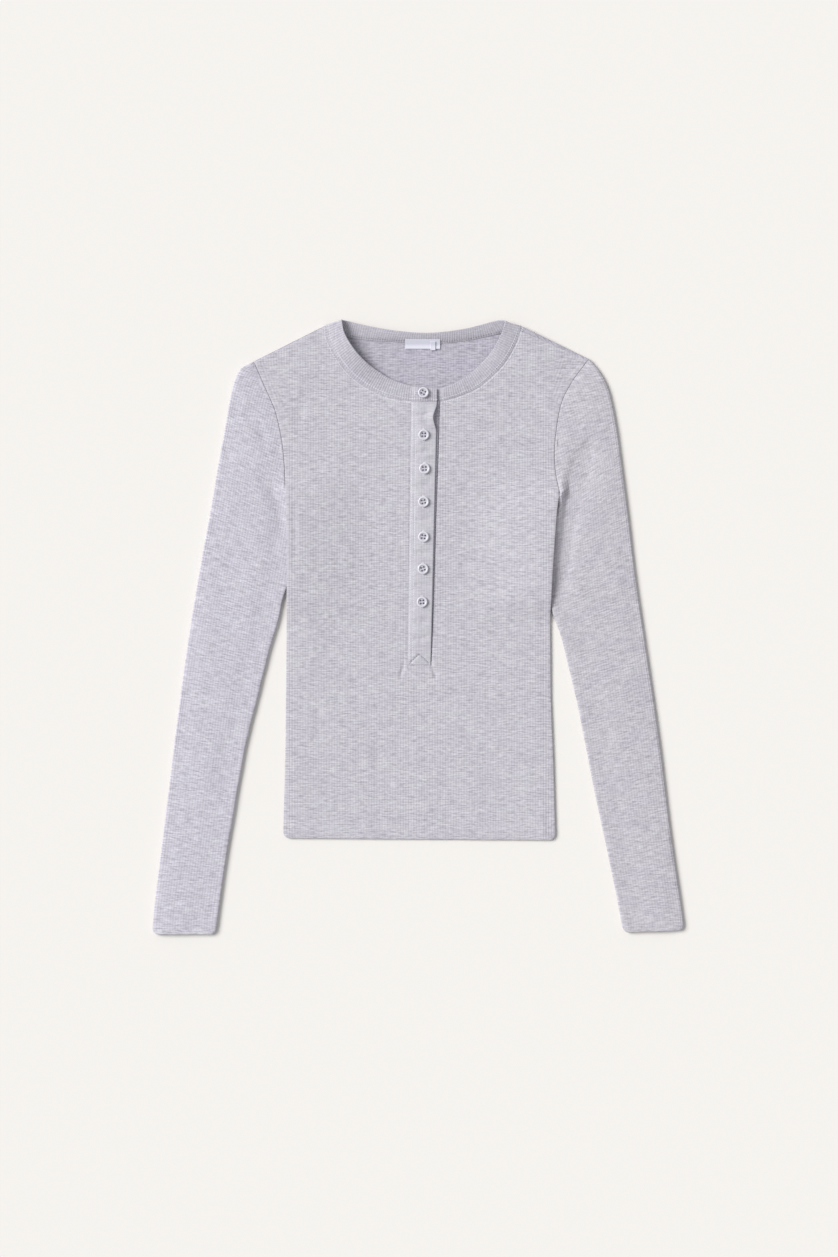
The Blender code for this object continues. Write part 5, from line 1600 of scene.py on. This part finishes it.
# ---------------------------------------------------------------------------------------------
# Buttons
# ---------------------------------------------------------------------------------------------
@dataclass
class Buttons:
    """Seven turned four-hole buttons, each sewn on with two bars of thread."""

    room: Workroom
    places: Table = ((5.4, 247.9, -29.0), (5.8, 203.3, 0.0), (6.6, 167.5, 4.0), (5.6, 132.5, 12.0),
                     (5.6, 95.4, -8.0), (5.0, 61.5, 20.0), (4.0, 26.5, 6.0))
    diameter: float = 11.4
    thick: float = 2.4
    rim: float = 1.9
    plate: float = 1.5
    hole: float = 1.9
    spacing: float = 3.1
    steps: int = 64
    tilt: float = 2.5  # degrees, at most
    bar_half: float = 0.15  # half the distance between the two threads of a bar
    bar_over: float = 0.25  # how far a bar goes past the middles of its holes
    plug: tuple[float, float] = (0.05, 1.15)  # foot and top of the thread in a hole, dark as painted shade

    def outline(self) -> list[tuple[float, float]]:
        """Half section from the middle of the face round to the middle of the back."""
        r, inner, t = self.diameter / 2, self.diameter / 2 - self.rim, self.thick
        face = [(0.0, self.plate - 0.12), (inner - 1.3, self.plate - 0.06), (inner - 0.5, self.plate),
                (inner - 0.15, self.plate + 0.15), (inner + 0.1, t - 0.35), (inner + 0.4, t - 0.1),
                (inner + 0.8, t), (r - 0.8, t - 0.02), (r - 0.35, t - 0.2), (r - 0.08, t - 0.6)]
        return face + [(r, t * 0.5), (r - 0.15, 0.6), (r - 0.6, 0.2), (r - 1.2, 0.0), (0.0, 0.0)]

    def blank(self) -> bpy.types.Mesh:
        """Turn one button and drill its holes."""
        profile = bpy.data.meshes.new("button_turned")
        points = [Vector((x, 0.0, z)) * MM for x, z in self.outline()]
        profile.from_pydata(points, [(k, k + 1) for k in range(len(points) - 1)], [])
        piece = put("button_turned", profile)
        screw = piece.modifiers.new("turn", "SCREW")
        screw.steps = screw.render_steps = self.steps
        screw.use_merge_vertices = True
        screw.merge_threshold = 0.00001
        work = bmesh.new()
        for sx in (-1, 1):
            for sy in (-1, 1):
                made = bmesh.ops.create_cone(
                    work, cap_ends=True, segments=20, radius1=self.hole / 2 * MM,
                    radius2=self.hole / 2 * MM, depth=5.0 * MM)
                move = Vector((sx * self.spacing / 2, sy * self.spacing / 2, 0.7)) * MM
                bmesh.ops.translate(work, verts=made["verts"], vec=move)
        drills = bpy.data.meshes.new("button_drills")
        work.to_mesh(drills)
        work.free()
        drill = put("button_drills", drills)
        cut = piece.modifiers.new("holes", "BOOLEAN")
        cut.operation, cut.object, cut.solver = "DIFFERENCE", drill, "EXACT"
        settle(piece)
        mesh = piece.data
        bpy.data.objects.remove(piece)
        bpy.data.objects.remove(drill)
        work = bmesh.new()
        work.from_mesh(mesh)
        bmesh.ops.recalc_face_normals(work, faces=work.faces)
        work.to_mesh(mesh)
        work.free()
        mesh.shade_smooth()
        mesh.set_sharp_from_angle(angle=math.radians(50))
        inner = self.diameter / 2 - self.rim
        # painted highlight and shade: 1 on the rim, which the material paints paler, 0 on the sunk plate,
        # which it paints darker
        rim = [min(max((v.co.xy.length / MM - inner) / 0.4, 0.0), 1.0) for v in mesh.vertices]
        mesh.attributes.new("rim", "FLOAT", "POINT").data.foreach_set("value", rim)
        return mesh

    def build(self) -> None:
        """Set the seven buttons, each tilted a little its own way."""
        room = self.room
        blank = self.blank()
        chance = np.random.default_rng(3)
        threads: list[Array] = []
        hole_shade_threads: list[Array] = []
        for number, (x, y, turn) in enumerate(self.places, start=1):
            low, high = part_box(f"button_{number}")
            base = Vector(((low[0] + high[0]) / 2, (low[1] + high[1]) / 2, low[2]))
            tilt = Euler((*np.radians(chance.uniform(-self.tilt, self.tilt, 2)), math.radians(turn)))
            place = Matrix.Translation(base) @ tilt.to_matrix().to_4x4()
            mesh = blank.copy()
            mesh.name = f"button_{number}_turned"
            mesh.transform(place)
            mesh.materials.clear()
            mesh.materials.append(room.finishes["button"])
            piece = put(mesh.name, mesh)
            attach(piece, "root")
            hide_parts(f"button_{number}")
            half = self.spacing / 2
            for sy in (-1, 1):
                for away in (-self.bar_half, self.bar_half):
                    bar = []
                    for part in np.linspace(-1.0, 1.0, 9):
                        rise = self.plate + 0.12 - 0.9 * max(abs(part) - 0.62, 0.0)
                        along = part * (half + self.bar_over)
                        bar.append(place @ (Vector((along, sy * half + away, rise)) * MM))
                    threads.append(np.array(bar) / MM + room.origin)
                for sx in (-1, 1):
                    ends = [place @ (Vector((sx * half, sy * half, rise)) * MM) for rise in self.plug]
                    hole_shade_threads.append(np.array(ends) / MM + room.origin)
        room.stitch("button_thread", threads, "button_plastic", 0.8, 0.35, 0.2, 0.0, "pale button thread")
        # painted shade: the thread that fills the holes is dark so that the holes look shaded
        room.stitch("button_thread_ends", hole_shade_threads, "button_plastic", 0.9, 0.5, 1.45, 0.0, "button thread")
        log.info("%d buttons", len(self.places))


# ---------------------------------------------------------------------------------------------
# Studio
# ---------------------------------------------------------------------------------------------
@dataclass
class Studio:
    """A pale floor, soft light from the upper left and a camera straight above."""

    floor: str = "#f0ede8"
    floor_reach: float = 60.0  # metres, so that its far edge stays out of every low view
    floor_down: float = 0.0006  # metres under the cloth
    key_from: tuple[float, float] = (158.0, 43.0)  # degrees round from +X, and above the table
    key_power: float = 2.92
    key_softness: float = 34.0
    key_colour: str = "#ffffff"
    sky: str = "#fbfcff"
    sky_power: float = 0.44
    seen_height: float = 1.332
    camera_up: float = 3.7
    lens: float = 100.0
    look_at: tuple[float, float] = (0.00095, -0.0012)

    def build(self) -> None:
        """Make the floor, the lights and the camera."""
        scene = bpy.context.scene
        mesh = bpy.data.meshes.new("floor")
        r = self.floor_reach
        corners = [(-r, -r), (r, -r), (r, r), (-r, r)]
        mesh.from_pydata([(*corner, -self.floor_down) for corner in corners], [], [(0, 1, 2, 3)])
        material, shader = new_material("matt paper floor")
        feed(shader, {"Base Color": linear(self.floor), "Roughness": 0.95, "Specular IOR Level": 0.1})
        mesh.materials.append(material)
        put("floor", mesh)
        key = bpy.data.lights.new("key", "SUN")
        key.energy = self.key_power
        key.angle = math.radians(self.key_softness)
        key.color = linear(self.key_colour)[:3]
        lamp = put("key", key)
        turn, rise = (math.radians(angle) for angle in self.key_from)
        towards = Vector((math.cos(turn) * math.cos(rise), math.sin(turn) * math.cos(rise), math.sin(rise)))
        lamp.rotation_euler = towards.to_track_quat("Z", "Y").to_euler()
        lamp.location = towards * 3.0
        world = bpy.data.worlds.new("studio")
        world.use_nodes = True
        feed(world.node_tree.nodes["Background"], {0: linear(self.sky), 1: self.sky_power})
        scene.world = world
        scene.view_settings.view_transform = "Standard"
        data = bpy.data.cameras.new("camera")
        data.sensor_fit = "VERTICAL"
        data.sensor_height = self.seen_height / self.camera_up * self.lens
        data.lens = self.lens
        data.clip_end = 30.0
        camera = put("camera", data)
        camera.location = (*self.look_at, self.camera_up)
        scene.camera = camera


def main() -> None:
    """Load the frame and build the shirt piece by piece."""
    logging.basicConfig(level=logging.INFO, format="%(message)s")
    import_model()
    low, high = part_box("button_4")
    pattern = Pattern()
    lay = Lay(pattern)
    finishes = {
        "jersey": HeatherJersey("heather rib jersey", "#dcdadf", "#c8c5cc", "#aeabb3",
                                contrast=1.3).material(),
        # painted shade: a darker copy of the jersey, with stronger flecks, for the wrong side seen inside
        # the neck and for the under strip in the placket's gape
        "inside": HeatherJersey("heather rib jersey, wrong side", "#cecbd5", "#bcb9c3", "#a4a0ab",
                                seed=3.0, contrast=1.6).material(),
        # painted light and shade: paler and darker copies of the one jersey for the lit left sleeve and the
        # shaded right one
        "left sleeve, painted light": HeatherJersey("heather rib jersey, left sleeve", "#e1dfe7", "#ccc9d2", "#b1aeb8",
                                     seed=5.0, contrast=1.3).material(),
        "right sleeve, painted shade": HeatherJersey("heather rib jersey, right sleeve", "#dbd8de", "#c6c3c9",
                                      "#aca8b0", seed=9.0, contrast=1.3).material(),
        "band": HeatherJersey("heather rib band", "#d7d5dc", "#c6c3cb", "#b2aeb8", (6.0, 1.6),
                              contrast=0.9, seed=2.0, shade_between_wales=(2.5, 0.18)).material(),
        "placket": HeatherJersey("heather placket jersey", "#d3d1d5", "#c3c1c7", "#b2afb6", (10.0, 1.6),
                                 contrast=0.9, seed=8.0, shade_between_wales=(2.8, 0.0)).material(),
        "thread": Thread("pale sewing thread", "#eae8ef").material(),
        "dark thread": Thread("grey sewing thread", "#8e8995").material(),
        "button thread": Thread("button thread in the holes", "#47434e").material(),
        "pale button thread": Thread("button thread", "#a9a6b1").material(),
        "satin": WovenSatin("white satin tape", "#e6e6f2").material(),
        # the button's pale rim is a painted highlight and its darker plate painted shade, on one plastic
        "button": ButtonPolyester("pale grey cast button", "#dddbe3", "#cbc8d2", "#c3c0ca").material(),
    }
    buttons = Buttons.places
    origin = np.array([buttons[3][0] - (low[0] + high[0]) / 2 / MM,
                       buttons[3][1] - (low[1] + high[1]) / 2 / MM, 0.0])
    log.info("middle of the pattern: %s", origin)
    room = Workroom(pattern, lay, RibTool(), StitchTool(), finishes, origin)
    BodyPanels(room).build()
    Sleeve(room, Side.LEFT, "sleeve_left", (
        Crease([(-186.0, 236.0), (-172.0, 216.0), (-156.0, 194.0)], 8.0, -0.9, 0.3),
        Crease([(-160.0, 158.0), (-151.5, 136.0), (-145.5, 114.0), (-142.0, 92.0)], 8.0, -1.7, 0.3),
        Crease([(-240.0, -60.0), (-215.0, -70.0), (-190.0, -66.0)], 9.0, -0.4),
        Crease([(-224.0, 70.0), (-205.0, 56.0), (-180.0, 52.0)], 10.0, -0.4),
    ), (Crease([(-200.0, 120.0), (-190.0, 40.0), (-196.0, -40.0)], 12.0, 0.5),)).build()
    Sleeve(room, Side.RIGHT, "sleeve_right", (
        Crease([(158.0, 170.0), (150.5, 148.0), (146.5, 118.0), (144.0, 80.0), (142.0, 46.0)],
               9.0, 2.5, 0.25),
        Crease([(186.0, 204.0), (173.5, 174.0), (165.0, 148.0), (159.5, 118.0), (155.5, 88.0),
                (151.0, 52.0), (149.0, 30.0)], 11.0, -3.7, 0.16),
        Crease([(198.0, 200.0), (185.0, 170.0), (175.0, 144.0), (169.0, 116.0), (165.0, 88.0),
                (160.0, 54.0)], 15.0, -1.2, 0.25),
        Crease([(250.0, -90.0), (222.0, -98.0), (196.0, -90.0)], 9.0, -0.4),
        Crease([(226.0, 30.0), (204.0, 20.0), (178.0, 22.0)], 10.0, -0.4),
    ), (Crease([(196.0, 110.0), (190.0, 30.0), (200.0, -50.0)], 12.0, 0.5),)).build()
    Neckband(room).build()
    Placket(room).build(buttons)
    tab = Tag(room, "size_tab", (13.0, 18.2),
              [(293.0, 2.6), (296.6, 2.8), (298.4, 3.2), (300.2, 4.1), (302.4, 5.4)]).build()
    Tag(room, "neck_label", (-13.7, 23.3),
        [(294.5, 1.8), (297.4, 1.8), (299.2, 2.2), (301.0, 3.2), (304.3, 5.2)]).build([tab])
    Buttons(room).build()
    Studio().build()
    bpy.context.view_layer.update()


if __name__ == "__main__":
    main()
